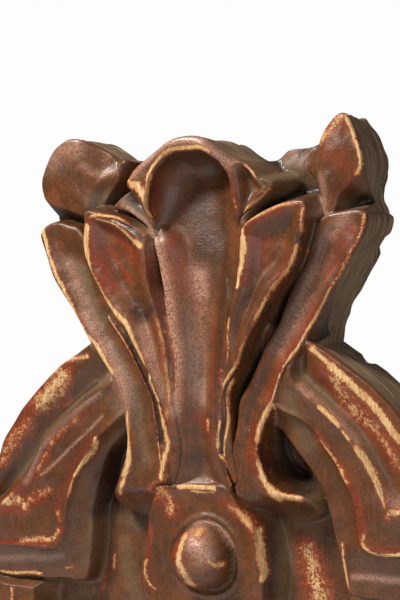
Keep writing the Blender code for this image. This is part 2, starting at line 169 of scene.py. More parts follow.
# Closed outlines of the layers
OUTLINES = {
    "web": [(-78, 140), (-98, 172), (-118, 206), (-137, 240), (-143, 258), (-139, 275), (-122, 300),
            (-100, 309), (-88, 302), (-70, 301), (-50, 297), (-20, 304), (20, 302), (44, 293), (57, 294),
            (66, 299), (82, 300), (105, 308), (126, 298), (132, 280), (131, 262), (134, 245), (116, 206),
            (98, 170), (80, 140), (0, 120)],
    "left_block": [(-236, -38), (-166, -38), (-162, -42), (-162, -90), (-166, -94), (-236, -94)],
    "right_block": [(236, -38), (160, -38), (156, -42), (156, -90), (160, -94), (236, -94)],
    "tail_leaf": [(-3, -56), (22, -66), (32, -92), (28, -130), (20, -175), (19, -215), (26, -248), (28, -272),
                  (19, -300), (-3, -319), (-25, -300), (-34, -272), (-32, -248), (-25, -215), (-26, -175),
                  (-34, -130), (-38, -92), (-28, -66)],
    "left_ear": [(-132, 268), (-139, 274), (-141, 286), (-137, 300), (-129, 311), (-117, 318), (-103, 317),
                 (-90, 312), (-80, 304), (-75, 297), (-72, 286), (-80, 275), (-91, 262), (-101, 257),
                 (-114, 261), (-125, 265)],
    "right_ear": [(84, 296), (93, 298), (101, 306), (109, 314), (117, 320), (124, 319), (129, 307),
                  (132, 294), (132, 281), (126, 272), (117, 263), (112, 252), (106, 240), (98, 243),
                  (98, 260), (92, 274), (82, 284)],
    "left_outer_leaf": [(-101, 244), (-112, 251), (-124, 254), (-135, 252), (-141, 247), (-141, 238),
                        (-132, 217), (-114, 186), (-96, 160), (-80, 136), (-69, 115), (-66, 95), (-67, 75),
                        (-74, 52), (-84, 36), (-80, 27), (-64, 22), (-42, 24), (-24, 45), (-20, 90),
                        (-40, 150), (-70, 200)],
    "right_outer_leaf": [(96, 238), (107, 248), (120, 251), (132, 251), (138, 247), (136, 237), (126, 220),
                         (107, 190), (88, 160), (67, 127), (54, 100), (48, 80), (49, 68), (57, 53), (70, 47),
                         (86, 44), (91, 36), (83, 27), (66, 24), (44, 28), (32, 40), (26, 60), (26, 84),
                         (35, 115), (50, 145), (74, 187), (90, 218)],
    "sheath": [(-68, 263), (-54, 257), (-42, 248), (-35, 236), (-30, 220), (-26, 198), (-23, 165), (-21, 130),
               (-21, 95), (-24, 70), (-30, 42), (18, 42), (17, 70), (16, 100), (21, 130), (28, 165),
               (38, 195), (42, 222), (45, 240), (50, 258), (68, 272), (56, 280), (20, 294), (-30, 292),
               (-46, 280)],
    "left_inner_leaf": [(-90, 261), (-77, 260), (-63, 255), (-50, 249), (-39, 240), (-36, 226), (-35, 206),
                        (-29, 188), (-24, 165), (-21, 140), (-19, 116), (-19, 85), (-25, 54), (-31, 60),
                        (-29, 97), (-33, 122), (-44, 150), (-65, 180), (-82, 208), (-91, 230), (-92, 250)],
    "right_inner_leaf": [(95, 259), (84, 259), (70, 255), (56, 249), (46, 241), (43, 228), (40, 210),
                         (36, 190), (29, 168), (24, 145), (18, 122), (14, 98), (16, 75), (24, 54), (30, 58),
                         (26, 75), (25, 98), (32, 130), (46, 157), (65, 190), (83, 211), (93, 232),
                         (97, 250)],
    "hood": [(-48, 278), (-47, 283), (-41, 290), (-33, 295), (-23, 302), (-13, 308), (-3, 311), (8, 311),
             (20, 307), (32, 299), (43, 292), (51, 287), (57, 280), (63, 273), (65, 268), (59, 263),
             (53, 259), (47, 255), (40, 249), (36, 242), (20, 236), (0, 234), (-22, 240), (-34, 253),
             (-38, 263), (-41, 271), (-46, 275)],
    "plate": [(-40, 50), (-4, 51), (16, 50), (28, 36), (38, 20), (43, 2), (46, -16), (43, -36), (28, -54),
              (-6, -64), (-40, -54), (-55, -36), (-58, -16), (-55, 4), (-51, 26), (-46, 42)],
}
SECOND_RIDGE = [(-97, 262), (-92, 277), (-82, 287), (-66, 297)]

# Closed outlines inside the hood: the scoop under its rim, and the pocket of the fold at its right
SCOOP = [(-28, 226), (-33, 240), (-34, 254), (-33, 262), (-31, 270), (-29, 279), (-26, 284), (-22, 289),
         (-16, 296), (-10, 300), (-3, 301), (9, 300), (16, 299), (22, 296), (28, 292), (31, 287), (34, 280),
         (35, 270), (36, 260), (35, 250), (34, 236), (30, 224), (10, 214), (-16, 214)]
POCKET = [(39, 287), (45, 289), (50, 286), (55, 280), (58, 276), (61, 269), (53, 263), (44, 255), (40, 252),
          (40, 259), (39, 268), (38, 279)]

# Narrow cuts and ridges seen in the photo: half width and rise in millimetres, and points in the photo's
# pixels
SEEN_CUTS = [
    (1.2, -2, [(112, 220), (120, 222.5), (128, 227), (137, 232), (142, 239)]),
    (1.3, -2.2, [(120, 325), (126, 334), (134, 350), (140, 365), (146.5, 380), (152, 396), (156.5, 411),
      (160, 431), (161, 446)]),
    (0.9, 1.3, [(108.5, 316.4), (120, 333), (130, 350), (138, 366), (145, 381), (150.6, 396.4), (155, 413),
      (158, 431), (159, 447)]),
    (0.8, -1.8, [(276, 292), (269, 305), (261, 320), (253.5, 335), (246, 350), (238, 366), (231, 379),
      (226, 392), (224.5, 409), (222, 425), (221, 441), (222, 455)]),
    (0.9, -2.2, [(262, 447), (262, 457), (266, 468), (269.5, 480)]),
    (4, -2, [(131, 195), (136, 204), (142, 214), (148, 226), (152, 238)]),
    (2.6, -1.6, [(271, 198), (263, 204), (255, 210), (248, 219)]),
    (3, -5, [(262, 522), (271, 529), (270, 545), (271, 571), (270, 598)]),
]

# Narrow cuts and ridges placed on the drawing: half width, rise and points, all in millimetres
DRAWN_CUTS = [
    (4, 1.6, [(-98, 262), (-92, 277), (-82, 287), (-66, 297)]),
    (1.6, 1.3, [(27, 204), (28, 180), (25, 160), (23, 145), (19, 127), (16, 110)]),
    (9, 5, [(62, 284), (68, 286), (74, 284)]),
    (3, -1.2, [(-100, 196), (-86, 166), (-70, 140), (-58, 116), (-52, 92)]),
    (2.4, -1.4, [(110, 236), (100, 214), (84, 184), (64, 152), (48, 122), (39, 96)]),
    (1.2, 0.8, [(-146, 93), (-120, 113), (-96, 128)]),
]

# Strokes of wear seen in the photo: radius in millimetres, strength, and points in the photo's pixels.
# Gesso that shows along the crest's arrises, and a few painted highlights in the same pale tan
GESSO_AND_GLINT_CREST = [
    (2.4, 1, [(42, 230), (43.3, 236.5), (45.4, 247.7), (49.6, 260.3), (57, 276), (64, 291), (71, 307),
      (78, 321), (86.1, 333.2), (94, 342), (101.5, 351.5), (107, 364), (113, 372)]),
    (2.6, 1, [(86.5, 226), (85, 242), (87, 256), (90, 270), (96, 283), (104, 297), (114, 311), (124, 323),
      (131, 336), (138, 350), (144, 364), (149, 380)]),
    (3.2, 1, [(149, 380), (154.8, 394), (159, 408), (162, 420), (165, 431), (166.4, 441.4)]),
    (2.9, 1, [(166.4, 441.4), (164.3, 454.3), (162.1, 465.7), (160.7, 477)]),
    (0.8, 0.95, [(108, 316), (120, 333), (130, 350), (138, 366), (145, 381), (150.6, 396.4), (154.8, 413.2),
      (158, 431), (158.6, 447.1), (159.3, 462)]),
    (1.2, 0.9, [(88, 217), (94.5, 213.3), (105.7, 215.4), (119.8, 219.6), (131, 223), (139, 229), (144, 235),
      (145, 243.5)]),
    (1.3, 1, [(96, 218), (108.5, 221.7), (118, 227), (126.8, 233.7)]),
    (2, 1, [(122, 230), (128, 235), (134, 242)]),
    (2.7, 1, [(133, 240.5), (140, 246)]),
    (1.5, 0.75, [(147, 258), (150, 270), (151.5, 282)]),
    (3.4, 0.66, [(164, 321), (167, 343), (169, 360), (171, 384), (170, 400), (168, 416)]),
    (1.5, 0.85, [(243, 228), (243, 236)]),
    (3, 1, [(243.6, 238), (244, 246), (243, 253)]),
    (2.4, 1, [(242.6, 252), (241, 260), (240, 267)]),
    (1.6, 1, [(239, 266), (238, 275), (236.6, 286)]),
    (1.3, 0.65, [(244, 226), (254.3, 218.6), (267, 211.4), (280, 206), (291, 203), (300, 203)]),
    (1.2, 0.55, [(302, 208), (302, 222), (302, 237)]),
    (2.8, 0.95, [(299, 247), (295, 257), (290, 267)]),
    (2.4, 1, [(290, 267), (283, 279), (274, 290)]),
    (1.9, 1, [(274, 290), (265, 302), (259, 314), (251.4, 331.4), (244, 346), (237, 361), (230, 373),
      (225.7, 385.7), (222.9, 400), (221, 414), (218.6, 427), (218.6, 442.9), (221, 457)]),
    (1.1, 0.95, [(279, 290), (269, 309), (261, 324), (254, 339), (246, 354), (237, 371), (231.4, 385.7),
      (229, 400), (227, 414), (225, 427), (224, 443), (224, 456)]),
    (1.5, 0.9, [(223, 459), (226, 466), (229, 477), (232, 487)]),
    (2.4, 0.55, [(223, 370), (223.5, 388)]),
    (1, 0.75, [(229, 318), (228, 336), (226.4, 350), (225, 361)]),
    (1.3, 0.85, [(330, 288), (326, 300), (314, 320), (307, 329), (298.6, 344.3), (289, 361), (280, 380),
      (273, 396), (269, 408)]),
    (3.3, 1, [(271, 404), (266, 416), (262, 429), (260, 440)]),
    (2.8, 1, [(260, 440), (259, 452), (260, 465), (264, 479)]),
    (4, 1, [(263, 478), (270, 490), (278, 498)]),
    (1.7, 1, [(264, 443), (265, 457), (269, 469), (273, 480)]),
    (3.8, 1, [(272, 482), (280, 491), (289, 497), (296, 498)]),
    (2.2, 0.72, [(363, 214), (362, 224), (358, 237), (353, 247), (347, 259), (341, 271), (332, 288)]),
    (1, 0.6, [(338, 262), (331, 272), (325, 281)]),
    (2.3, 1, [(348.6, 116), (352, 128), (355, 142), (358, 155), (358, 166), (356, 172)]),
    (6.5, 0.72, [(343, 117), (333, 128), (323, 138)]),
    (3, 0.6, [(345, 122), (349, 136)]),
    # Painted highlight on the small lobe beside the hood
    (1, 0.6, [(281, 155), (289, 154), (297, 156)]),
    (1.4, 0.5, [(47, 146), (40, 157), (36.5, 170), (36, 190), (42, 203)]),
    (1, 0.85, [(149, 215), (146, 205), (146, 194), (147.6, 180.1)]),
    (1.6, 1, [(147.6, 180.1), (151, 171), (156.7, 161.7), (164.8, 152.6), (174, 148), (184, 146),
      (194.6, 147), (203.8, 149.7), (209, 152)]),
    (3.4, 1, [(132, 183), (139, 184)]),
    (2.6, 1, [(137, 186), (142, 193)]),
    (2, 1, [(139, 185), (142.5, 192), (144, 199)]),
    (1.3, 1, [(144, 199), (146, 207), (150, 216)]),
    (0.8, 0.7, [(128, 181), (134, 171), (143, 161.7)]),
    # Painted highlight on the arc of the hood's fold
    (0.8, 0.9, [(245, 165), (252, 169), (256.6, 175.5)]),
    (1.3, 0.9, [(268, 190), (262, 196), (254, 202), (247.4, 207.7), (242.9, 212.3)]),
    (1, 0.55, [(229, 178), (230.2, 192.7), (235, 201), (236, 208)]),
    # Painted highlight along the top bevel of the strap plate
    (2.4, 1.1, [(180, 486), (197, 487), (214, 489)]),
    (2, 0.8, [(192, 491.5), (206, 492.5), (216, 492)]),
    (8, 0.7, [(159, 491), (168, 499), (171, 509)]),
    (4.4, 0.68, [(228.6, 505.7), (238.6, 514.3), (250, 526)]),
    (2.2, 0.95, [(256, 531), (259, 546), (260.7, 561.4), (264, 571), (262, 580)]),
    (1.5, 0.8, [(146, 560), (145, 571), (148.6, 581.4), (155.7, 588.6)]),
    (2, 0.5, [(152, 530), (150, 545)]),
    (4.2, 1, [(183, 538), (179.5, 548), (180, 561), (185.7, 574), (191, 584)]),
    (5, 0.64, [(200, 530), (192, 545)]),
    (2.6, 0.8, [(207, 562), (213, 566.5), (222, 564.5)]),
    (2.6, 0.75, [(208, 421), (208, 432)]),
    (0.9, 0.7, [(194, 400), (193, 405)]),
    (0.8, 0.7, [(196, 300), (195.7, 312)]),
    (1.3, 0.9, [(128, 412), (128, 424), (127.4, 438)]),
    (3.2, 1, [(127, 441), (128, 459), (126, 476)]),
    (2.2, 0.95, [(125, 478), (122, 487), (120, 493)]),
    (1.6, 0.45, [(111, 252), (116, 258)]),
    (1.2, 0.5, [(125, 272), (133, 284)]),
]

# Gesso on the frame, which the lower half repeats
GESSO_FRAME = [
    (2.6, 1, [(310, 348), (321, 357.5), (334, 368)]),
    (4, 1.15, [(331, 367), (346, 380), (360, 394), (374, 408), (386, 422), (399, 440)]),
    (9, 0.72, [(334, 381), (348, 403), (362, 417), (376, 429)]),
    (6.5, 0.68, [(380, 436), (389, 451), (398, 468)]),
    (2, 0.9, [(320, 409), (331, 416), (338, 424)]),
    (1.4, 0.8, [(343, 430), (350, 439)]),
    (2.2, 1, [(357, 448), (364, 459), (370, 471), (376, 484), (382, 498)]),
    (1.5, 0.8, [(381, 497), (386, 508)]),
    (4, 0.75, [(388, 515), (399, 512)]),
    (2.6, 0.7, [(318, 440), (331, 456), (340.9, 469.5), (347, 483)]),
    (2.6, 0.9, [(364, 534), (363.6, 546), (368, 552)]),
    (1.9, 1, [(366, 552), (374, 555.5), (383, 556.4), (399, 554)]),
    (1.5, 0.8, [(341, 543), (343, 563), (346, 578), (350, 594)]),
    (3, 0.85, [(89.6, 355), (71, 360), (54.7, 371.5), (33.2, 394.7), (17, 415), (3, 433)]),
    (13, 0.8, [(60, 377), (55, 389), (40, 403)]),
    (9, 0.66, [(28, 424), (12, 443), (3, 460)]),
    (3.4, 0.62, [(77.9, 416.3), (63, 429.5), (49.8, 449.5), (36.5, 469.4)]),
    (1.8, 0.95, [(95, 437), (93, 448), (82, 463), (73.3, 476)]),
    (1.6, 0.7, [(73, 477), (70, 489), (69, 498)]),
    (3, 0.75, [(58, 512), (60, 521)]),
    (3.2, 0.85, [(58, 531), (53, 538), (44, 538)]),
    (4, 0.75, [(40, 537), (22, 541)]),
    (6, 0.8, [(6, 503), (18, 501), (25, 506)]),
    (6, 0.66, [(30, 500), (40, 494), (48, 488)]),
    (1.8, 1, [(0.5, 570.5), (16.6, 572), (30, 572), (41.5, 573.8)]),
    (1.6, 0.7, [(66.3, 569.7), (73, 567)]),
]

# Gesso on the sunk field and the plate
GESSO_FIELD = [
    (13, 0.74, [(308, 552), (313, 570), (318, 588), (320, 599)]),
    (2.4, 0.8, [(114, 555), (114.4, 566)]),
    (2.2, 0.6, [(106, 578), (102, 590)]),
    (1.8, 1, [(12.4, 588), (12, 599)]),
]

# Red ground that shows through thin lacquer
BOLE = [
    (2.8, 1, [(146, 257), (149, 270), (151.4, 283), (154, 293), (158.6, 307), (164, 321)]),
    (5, 0.8, [(93, 222), (92, 236), (96, 252), (103, 270), (112, 288)]),
    (5, 0.7, [(108, 228), (120, 238), (131, 250), (138, 262)]),
    (3, 0.8, [(110, 250), (118, 262), (130, 280)]),
    (4.5, 0.8, [(160, 335), (163, 352), (161, 372)]),
    (4.5, 1, [(250, 232), (248, 245), (245, 262), (242, 280)]),
    (3.6, 1, [(249, 226), (262, 216), (278, 210)]),
    (3.4, 0.7, [(290, 252), (284, 266), (274, 282)]),
    (2.4, 1, [(321, 300), (306, 324), (295, 342), (285, 360), (276, 378), (268, 397)]),
    (4, 0.7, [(254, 430), (251, 452), (256, 474), (268, 492)]),
    (2.4, 1, [(250, 448), (252, 453)]),
    (5, 0.6, [(352, 226), (342, 248), (330, 270)]),
    (10, 0.9, [(325, 378), (340, 396), (356, 412), (374, 430), (392, 456)]),
    (3.4, 0.9, [(316, 434), (330, 452), (344, 474), (356, 498), (360, 520), (360, 540)]),
    (3, 0.8, [(360, 545), (372, 551), (399, 549)]),
    (3, 0.7, [(325, 408), (345, 428), (362, 450), (376, 478), (386, 506)]),
    (8, 0.85, [(68, 374), (45, 394), (22, 424), (5, 452)]),
    (4, 0.85, [(82, 410), (60, 432), (42, 458), (28, 480), (10, 500)]),
    (5, 0.6, [(92, 440), (76, 462), (64, 488), (58, 506)]),
    (2.8, 1, [(62, 530), (50, 541), (25, 543), (2, 543)]),
    (3.4, 0.8, [(0, 509), (22, 510), (46, 500)]),
    (7, 0.9, [(156, 494), (166, 500), (172, 510)]),
    (4, 0.9, [(222, 500), (236, 512), (250, 524), (258, 540)]),
    (3, 0.8, [(151, 505), (149, 530), (146, 556)]),
    (2.2, 0.8, [(207, 153.7), (216, 158), (222, 166)]),
    (1.6, 1, [(240, 161), (243, 162)]),
    (2, 0.9, [(227, 172), (229.5, 186), (234, 198), (236, 212)]),
    (2.6, 0.6, [(150, 180), (149, 196), (152, 210)]),
    (9, 0.4, [(172, 240), (180, 262), (186, 290)]),
    (4, 0.6, [(196, 418), (206, 424), (214, 440)]),
    (4, 0.5, [(216, 330), (214, 380), (212, 410)]),
    (6, 0.5, [(264, 236), (262, 252), (258, 270)]),
    (4, 0.6, [(352, 178), (342, 190), (332, 200)]),
    (7, 0.45, [(326, 146), (336, 158), (346, 166)]),
    (10, 0.6, [(308, 548), (314, 572), (320, 598)]),
    (3, 0.7, [(112, 552), (108, 572), (102, 592)]),
    (3.4, 0.9, [(179, 532), (178, 560), (184, 580)]),
    (2.6, 1, [(99, 347), (106, 360), (113, 374)]),
]

# Rubbed, milky crowns, and painted highlights on the channel, the boss, the ring, the crests and the border's
# top
BLOOM_AND_HIGHLIGHT = [
    (9, 0.42, [(200, 300), (201, 330), (202, 365), (203, 400)]),
    (6, 0.45, [(316, 270), (306, 300), (292, 330), (280, 352)]),
    (6, 1, [(157, 247), (163, 272), (167, 292), (171, 312), (174, 335), (175, 360), (175, 385), (173, 410)]),
    (2, 0.8, [(123.4, 205.4), (134, 213), (143, 220), (151, 231.8), (157, 243)]),
    (4.2, 1, [(135, 175), (145, 163), (156.7, 150.8), (168, 143), (184, 140), (198, 141.6), (212, 149),
      (221, 156.5), (229, 164)]),
    (5, 0.7, [(144, 330), (150, 350), (157, 375), (163, 395)]),
    (6, 0.75, [(84, 315), (95, 333), (108, 356), (118, 380), (126, 405)]),
    (5, 0.6, [(70, 262), (76, 282), (84, 302)]),
    (4, 0.75, [(321, 176), (324, 194), (322, 214)]),
    (5, 0.8, [(330, 236), (338, 226), (346, 218)]),
    (1.8, 0.8, [(246, 224), (256, 216.6), (268, 210), (281, 204.6), (294, 202)]),
    # Painted highlights along the frame's crest
    (2, 0.9, [(299, 385), (305, 391), (312, 397)]),
    (1.6, 0.6, [(312, 397), (330, 411), (347, 427), (360, 446)]),
    (8, 0.6, [(52, 160), (62, 150), (76, 148)]),
    (3, 0.6, [(84, 165), (93, 172), (104, 176), (118, 172)]),
    (3, 0.6, [(0.5, 558), (30, 557), (62, 556)]),
    # Painted highlight along the top of the border
    (2.4, 0.9, [(354, 578), (376, 579), (399, 580)]),
    (4, 0.7, [(382, 492), (390, 499), (399, 503)]),
    # Painted highlights on the channel and the boss, and along the ring
    (7, 0.95, [(198, 276), (199, 294)]),
    (5, 0.85, [(201, 380), (202, 400)]),
    (8, 1, [(191, 533), (197, 543), (201, 556)]),
    (1.2, 0.7, [(193, 524), (204, 519), (218.6, 525.7), (228.6, 535.7), (234.3, 544.3)]),
    # Painted highlight along the left arm's crest
    (2, 0.7, [(99.5, 394.7), (80, 408), (55, 433), (36, 459), (24.9, 482.6)]),
    (0.8, 0.9, [(103, 416), (80, 440), (50, 468), (40, 474)]),
    (2.4, 0.7, [(128, 395), (128, 410), (128, 425)]),
    (3, 0.5, [(56, 372), (62, 364), (80, 357)]),
    (2.4, 0.6, [(295, 455), (305, 466), (314, 475)]),
]

# Dark slits and soot, and painted shade: shaded hollows, deep gaps, walls turned from the light and the shadow
# beside the plate
DARK_AND_SHADE = [
    (5, 0.5, [(96, 394), (72, 414), (52, 438), (34, 470)]),
    (12, 0.32, [(50, 150), (60, 168)]),
    (12, 0.4, [(345, 255), (352, 275), (350, 300)]),
    (20, 0.36, [(10, 470), (25, 440), (50, 412), (75, 385)]),
    (16, 0.3, [(42, 500), (62, 470), (84, 440)]),
    (14, 0.34, [(10, 556), (60, 556), (88, 550)]),
    (14, 0.3, [(340, 410), (360, 440), (378, 470)]),
    (14, 0.4, [(345, 568), (398, 570)]),
    (14, 0.24, [(160, 510), (160, 570)]),
    # Painted shade at the top of the channel, under the hood
    (14, 0.62, [(200, 208), (208, 235), (208, 250)]),
    (5, 0.9, [(136, 311), (146, 318), (152, 308)]),
    (4, 0.5, [(135, 300), (142, 302)]),
    (8, 0.55, [(118, 503), (130, 510), (144, 514)]),
    (7, 0.5, [(272, 508), (290, 512), (306, 508)]),
    # Painted shade under the hood's rim, down the channel and on its right wall
    (7, 0.5, [(172, 158), (186, 153), (202, 157), (214, 170)]),
    (6, 0.5, [(202, 205), (203, 235), (204, 262)]),
    (5, 0.6, [(222, 205), (225, 240), (226, 275), (222, 310), (219, 345), (217, 380)]),
    # Painted shade in the deep gaps beside the tails
    (7, 1, [(285, 462), (296, 475), (306, 492)]),
    (7, 1, [(118, 455), (108, 475), (104, 510)]),
    (2.2, 0.9, [(126, 334), (140, 365), (152.2, 396), (158, 415), (161, 440)]),
    (1.2, 0.9, [(120, 222.5), (128, 227), (136.6, 232.3), (142, 239)]),
    (1, 1, [(269, 305), (254, 335), (238, 366), (226, 392), (221.8, 425), (222, 452)]),
    (1, 1, [(262, 447), (263, 458), (266, 469), (270, 480)]),
    # Painted shade on the wall right of the right inner leaf, and the painted shadow that the plate casts on the
    # field
    (7, 0.8, [(303, 235), (301, 270), (288, 310), (270, 345)]),
    (4, 0.9, [(270, 530), (270, 560), (270, 595)]),
    (5, 0.8, [(133, 196), (140, 206)]),
    # Painted shade on the boss's lower right and under the right ear
    (5, 0.6, [(228, 575), (220, 586), (206, 590)]),
    (7, 0.5, [(340, 192), (352, 196), (364, 198)]),
    (6, 0.5, [(182, 455), (196, 458), (206, 455)]),
]

# Grey-olive dust that was never wiped
PATINA = [
    (7, 0.9, [(82, 268), (92, 300), (101, 322)]),
    (6, 0.7, [(112, 345), (126, 376), (138, 412), (146, 460)]),
    (8, 0.9, [(97, 200), (115, 197)]),
    (6, 1.1, [(127, 200), (137, 212), (146, 226), (152, 243)]),
    (9, 0.8, [(242, 150), (262, 165), (275, 185)]),
    (5, 1.2, [(249, 215), (260, 207), (278, 199), (298, 195)]),
    (10, 1, [(275, 175), (290, 172), (303, 180)]),
    (6, 0.9, [(346, 203), (368, 205)]),
    (6, 0.9, [(118, 372), (100, 382), (80, 398), (60, 420), (38, 446), (22, 475)]),
    (6, 0.8, [(112, 400), (124, 420), (118, 440)]),
    (6, 0.9, [(305, 375), (326, 396), (346, 420), (364, 446), (380, 476)]),
    (9, 0.8, [(290, 400), (298, 425), (310, 445)]),
    (5, 0.9, [(310, 485), (324, 502), (332, 525)]),
    (7, 0.7, [(100, 490), (92, 530), (86, 560)]),
    (8, 0.9, [(112, 515), (128, 520), (142, 525)]),
    (10, 0.7, [(125, 545), (130, 575), (135, 598)]),
    (8, 0.9, [(285, 530), (283, 560), (282, 596)]),
    (8, 0.7, [(300, 522), (318, 530)]),
    (5, 0.5, [(20, 555), (60, 556), (80, 550)]),
    (4, 0.6, [(190, 475), (205, 474)]),
    (10, 0.6, [(40, 585), (70, 590), (90, 597)]),
    (6, 0.5, [(346, 300), (356, 290)]),
]


def spline(points, closed=True, step=LINE_STEP):
    """A Catmull-Rom curve through points in millimetres, cut by its own length into even steps, in metres."""
    p = np.array(points, float) * MM
    if closed:
        p = np.vstack([p[-1], p, p[0], p[1]])
    else:
        p = np.vstack([2 * p[0] - p[1], p, 2 * p[-1] - p[-2]])
    t = np.linspace(0, 1, 24, endpoint=False)[:, None]
    spans = [b + 0.5 * t * (c - a + t * (2 * a - 5 * b + 4 * c - d + t * (3 * (b - c) + d - a)))
             for a, b, c, d in zip(p, p[1:], p[2:], p[3:])]
    line = np.vstack(spans + [p[-2][None]])
    along = np.append(0, np.cumsum(np.linalg.norm(np.diff(line, axis=0), axis=1)))
    cuts = np.linspace(0, along[-1], max(3, round(along[-1] / step)) + 1)
    line = np.column_stack([np.interp(cuts, along, line[:, k]) for k in (0, 1)])
    return line[:-1] if closed else line


def distance_to(line, x, z, closed=True, reach=FAR):
    """Distance to the nearest span of a line, counted positive inside a closed one, where a ray from the
    place crosses it an odd number of times. Places further than reach from the line's box are given reach
    itself."""
    (west, low), (east, high) = line.min(axis=0) - reach, line.max(axis=0) + reach
    near = (x > west) & (x < east) & (z > low) & (z < high)
    x, z = x[near], z[near]
    best = np.full(x.shape, reach ** 2)
    inside = np.zeros(x.shape, bool)
    ends = np.roll(line, -1, axis=0) if closed else line[1:]
    for (ax, az), (bx, bz) in zip(line, ends):
        dx, dz = bx - ax, bz - az
        px, pz = x - ax, z - az
        share = np.clip((px * dx + pz * dz) / (dx * dx + dz * dz), 0, 1)
        best = np.minimum(best, (px - share * dx) ** 2 + (pz - share * dz) ** 2)
        if closed and dz:
            inside ^= ((az > z) != (bz > z)) & (px < dx * pz / dz)
    result = np.full(near.shape, -reach if closed else reach)
    result[near] = np.where(inside | (not closed), 1, -1) * np.sqrt(best)
    return result


def ease(t):
    """0 to 1 with a level start and end: three times the square less twice the cube."""
    t = np.clip(t, 0, 1)
    return t * t * (3 - 2 * t)


def round_over(d):
    """A quarter round: nothing further in than its radius, and one radius lower at the edge."""
    s = np.clip(1 - d / ROUND_OVER, 0, 1)
    return ROUND_OVER * (np.sqrt(1 - s * s) - 1)


def lay(height, d, top, slope=WALL):
    """Lays a layer over the wood: top inside its outline, and outside it a wall down or up to what is
    there."""
    edge = top - ROUND_OVER
    return np.where(d > 0, top + round_over(d), np.clip(height, edge + slope * d, edge - slope * d))


def dish(d, depth, bead, reach):
    """A bead left along the edge, and an eased hollow inside it."""
    return -depth * ease((d - bead) / reach)


def swell(x, z, length, seed, waves=9):
    """A smooth random swell about one high: sine waves of about one length, in random directions, added
    up."""
    dice = np.random.default_rng(seed)
    total = np.zeros(x.shape)
    for turn, shift, size in zip(*dice.uniform(0, 2 * np.pi, (2, waves)), dice.uniform(0.7, 1.4, waves)):
        total += np.sin(2 * np.pi / (length * size) * (x * np.cos(turn) + z * np.sin(turn)) + shift)
    return total / np.sqrt(waves / 2)


def circle(centre, radius, sides):
    """A ring of points, given in millimetres and made metres."""
    turns = np.linspace(0, 2 * np.pi, sides, endpoint=False)
    return MM * np.column_stack([centre[0] + radius * np.cos(turns), centre[1] + radius * np.sin(turns)])


def mirrored(line):
    """The same line in the lower half."""
    return np.column_stack([line[::-1, 0], 2 * MIRROR_LINE - line[::-1, 1]])


def draw_lines():
    """Every line of the drawing in metres: closed outlines by name, and band lines as lists of regions."""
    lines = {name: spline(points) for name, points in OUTLINES.items()}
    upper = circle(FRAME_CENTRE, RIM_RADIUS, 600)[:301]
    lines["rim"] = np.vstack([upper, mirrored(upper)])
    lines["boss"] = circle(BOSS_CENTRE, BOSS_RADIUS, 80)
    lines["scoop"], lines["pocket"] = spline(SCOOP), spline(POCKET)
    for name, sides in BANDS.items():
        cut = [spline(side, closed=False) for side in sides]
        lines[name] = [np.vstack([line, (line[0][0], line[-1][1])]) for line in cut]
    return lines


def carve_frame(height, lines, x, z):
    """The frame's four arms: wall, cove, arris, crest, groove and outer band, the lower two mirrored. Between
    two band lines the level runs by the share of the way: near distance over the sum of both distances."""
    folded = MIRROR_LINE + np.abs(z - MIRROR_LINE)
    border, arris, crest, groove = [np.maximum(*[distance_to(region, x, folded, reach=4 * FAR)
                                                 for region in lines[name]])
                                    for name in ("border", "arris", "crest", "groove")]
    rim = distance_to(lines["rim"], x, z, reach=4 * FAR)

    def between(near, beyond):
        return np.clip(near / np.maximum(near - beyond, 1e-6), 0, 1)

    cove = BORDER + (ARRIS - BORDER) * between(border, arris) ** 1.8
    slope = ARRIS + (CREST - ARRIS) * between(arris, crest)
    fall = CREST + (GROOVE - CREST) * ease(between(crest, groove))
    band = GROOVE + (THICKNESS - GROOVE) * ease(1.6 * groove / np.maximum(groove + rim, 1e-6))
    bead = 1.2 * MM * np.exp(-(np.minimum(np.abs(arris), np.abs(crest)) / (2.2 * MM)) ** 2)
    top = np.select([groove > 0, crest > 0, arris > 0], [band, fall, slope], cove) + bead
    return lay(height, np.minimum(border, rim), top)


def carve_ears(height, d, x, z):
    """The two ears, each falling towards the valley beside the hood, crowned along their middles."""
    inner = 1 - ease((np.abs(x) / MM - EAR_INNER) / EAR_FALL)
    for name, drop, crown in (("left_ear", 8, 2), ("right_ear", 21, 3)):
        top = EAR - drop * MM * inner + crown * MM * (ease(d[name] / (18 * MM)) - 1)
        height = lay(height, d[name], top, SHOULDER)
    ridge = THICKNESS - 7 * MM - 14 * MM * (d["ridge"] / (RIDGE_HALF_WIDTH * MM)) ** 2
    return np.where(d["left_ear"] > 0, height, np.maximum(height, ridge))


def carve_leaves(height, d, x, z):
    """Outer leaves, the sheath with its channel, and the inner leaves, all sinking towards the strap
    plate."""
    foot = 28 * MM * (1 - ease((z / MM - FOOT_START) / FOOT_LENGTH))
    for name in ("left_outer_leaf", "right_outer_leaf"):
        height = lay(height, d[name], OUTER_LEAF - foot + dish(d[name], 4 * MM, 3.4 * MM, 12 * MM))
    crown = SHEATH - 12 * MM * (1 - ease((z / MM - SHEATH_START) / SHEATH_LENGTH))
    bead = np.where(x < 0, 6 * MM, 3.4 * MM)
    channel = ease((d["sheath"] - bead) / (19 * MM))
    height = lay(height, d["sheath"], crown + (channel_floor(z) - crown) * channel)
    top = INNER_LEAF - 18 * MM * (1 - ease((z / MM - INNER_LEAF_START) / INNER_LEAF_LENGTH))
    for name in ("left_inner_leaf", "right_inner_leaf"):
        height = lay(height, d[name], top + dish(d[name], 9 * MM, 3.2 * MM, 14 * MM))
    return height


def channel_floor(z):
    """Level of the middle channel: straight runs between the heights where its sink is given, evened out as
    the mean of five levels up and down it."""
    heights, sinks = zip(*CHANNEL_SINKS)
    return THICKNESS - MM * np.mean([np.interp(z / MM + shift, heights, sinks) for shift in SINK_SPREAD], axis=0)


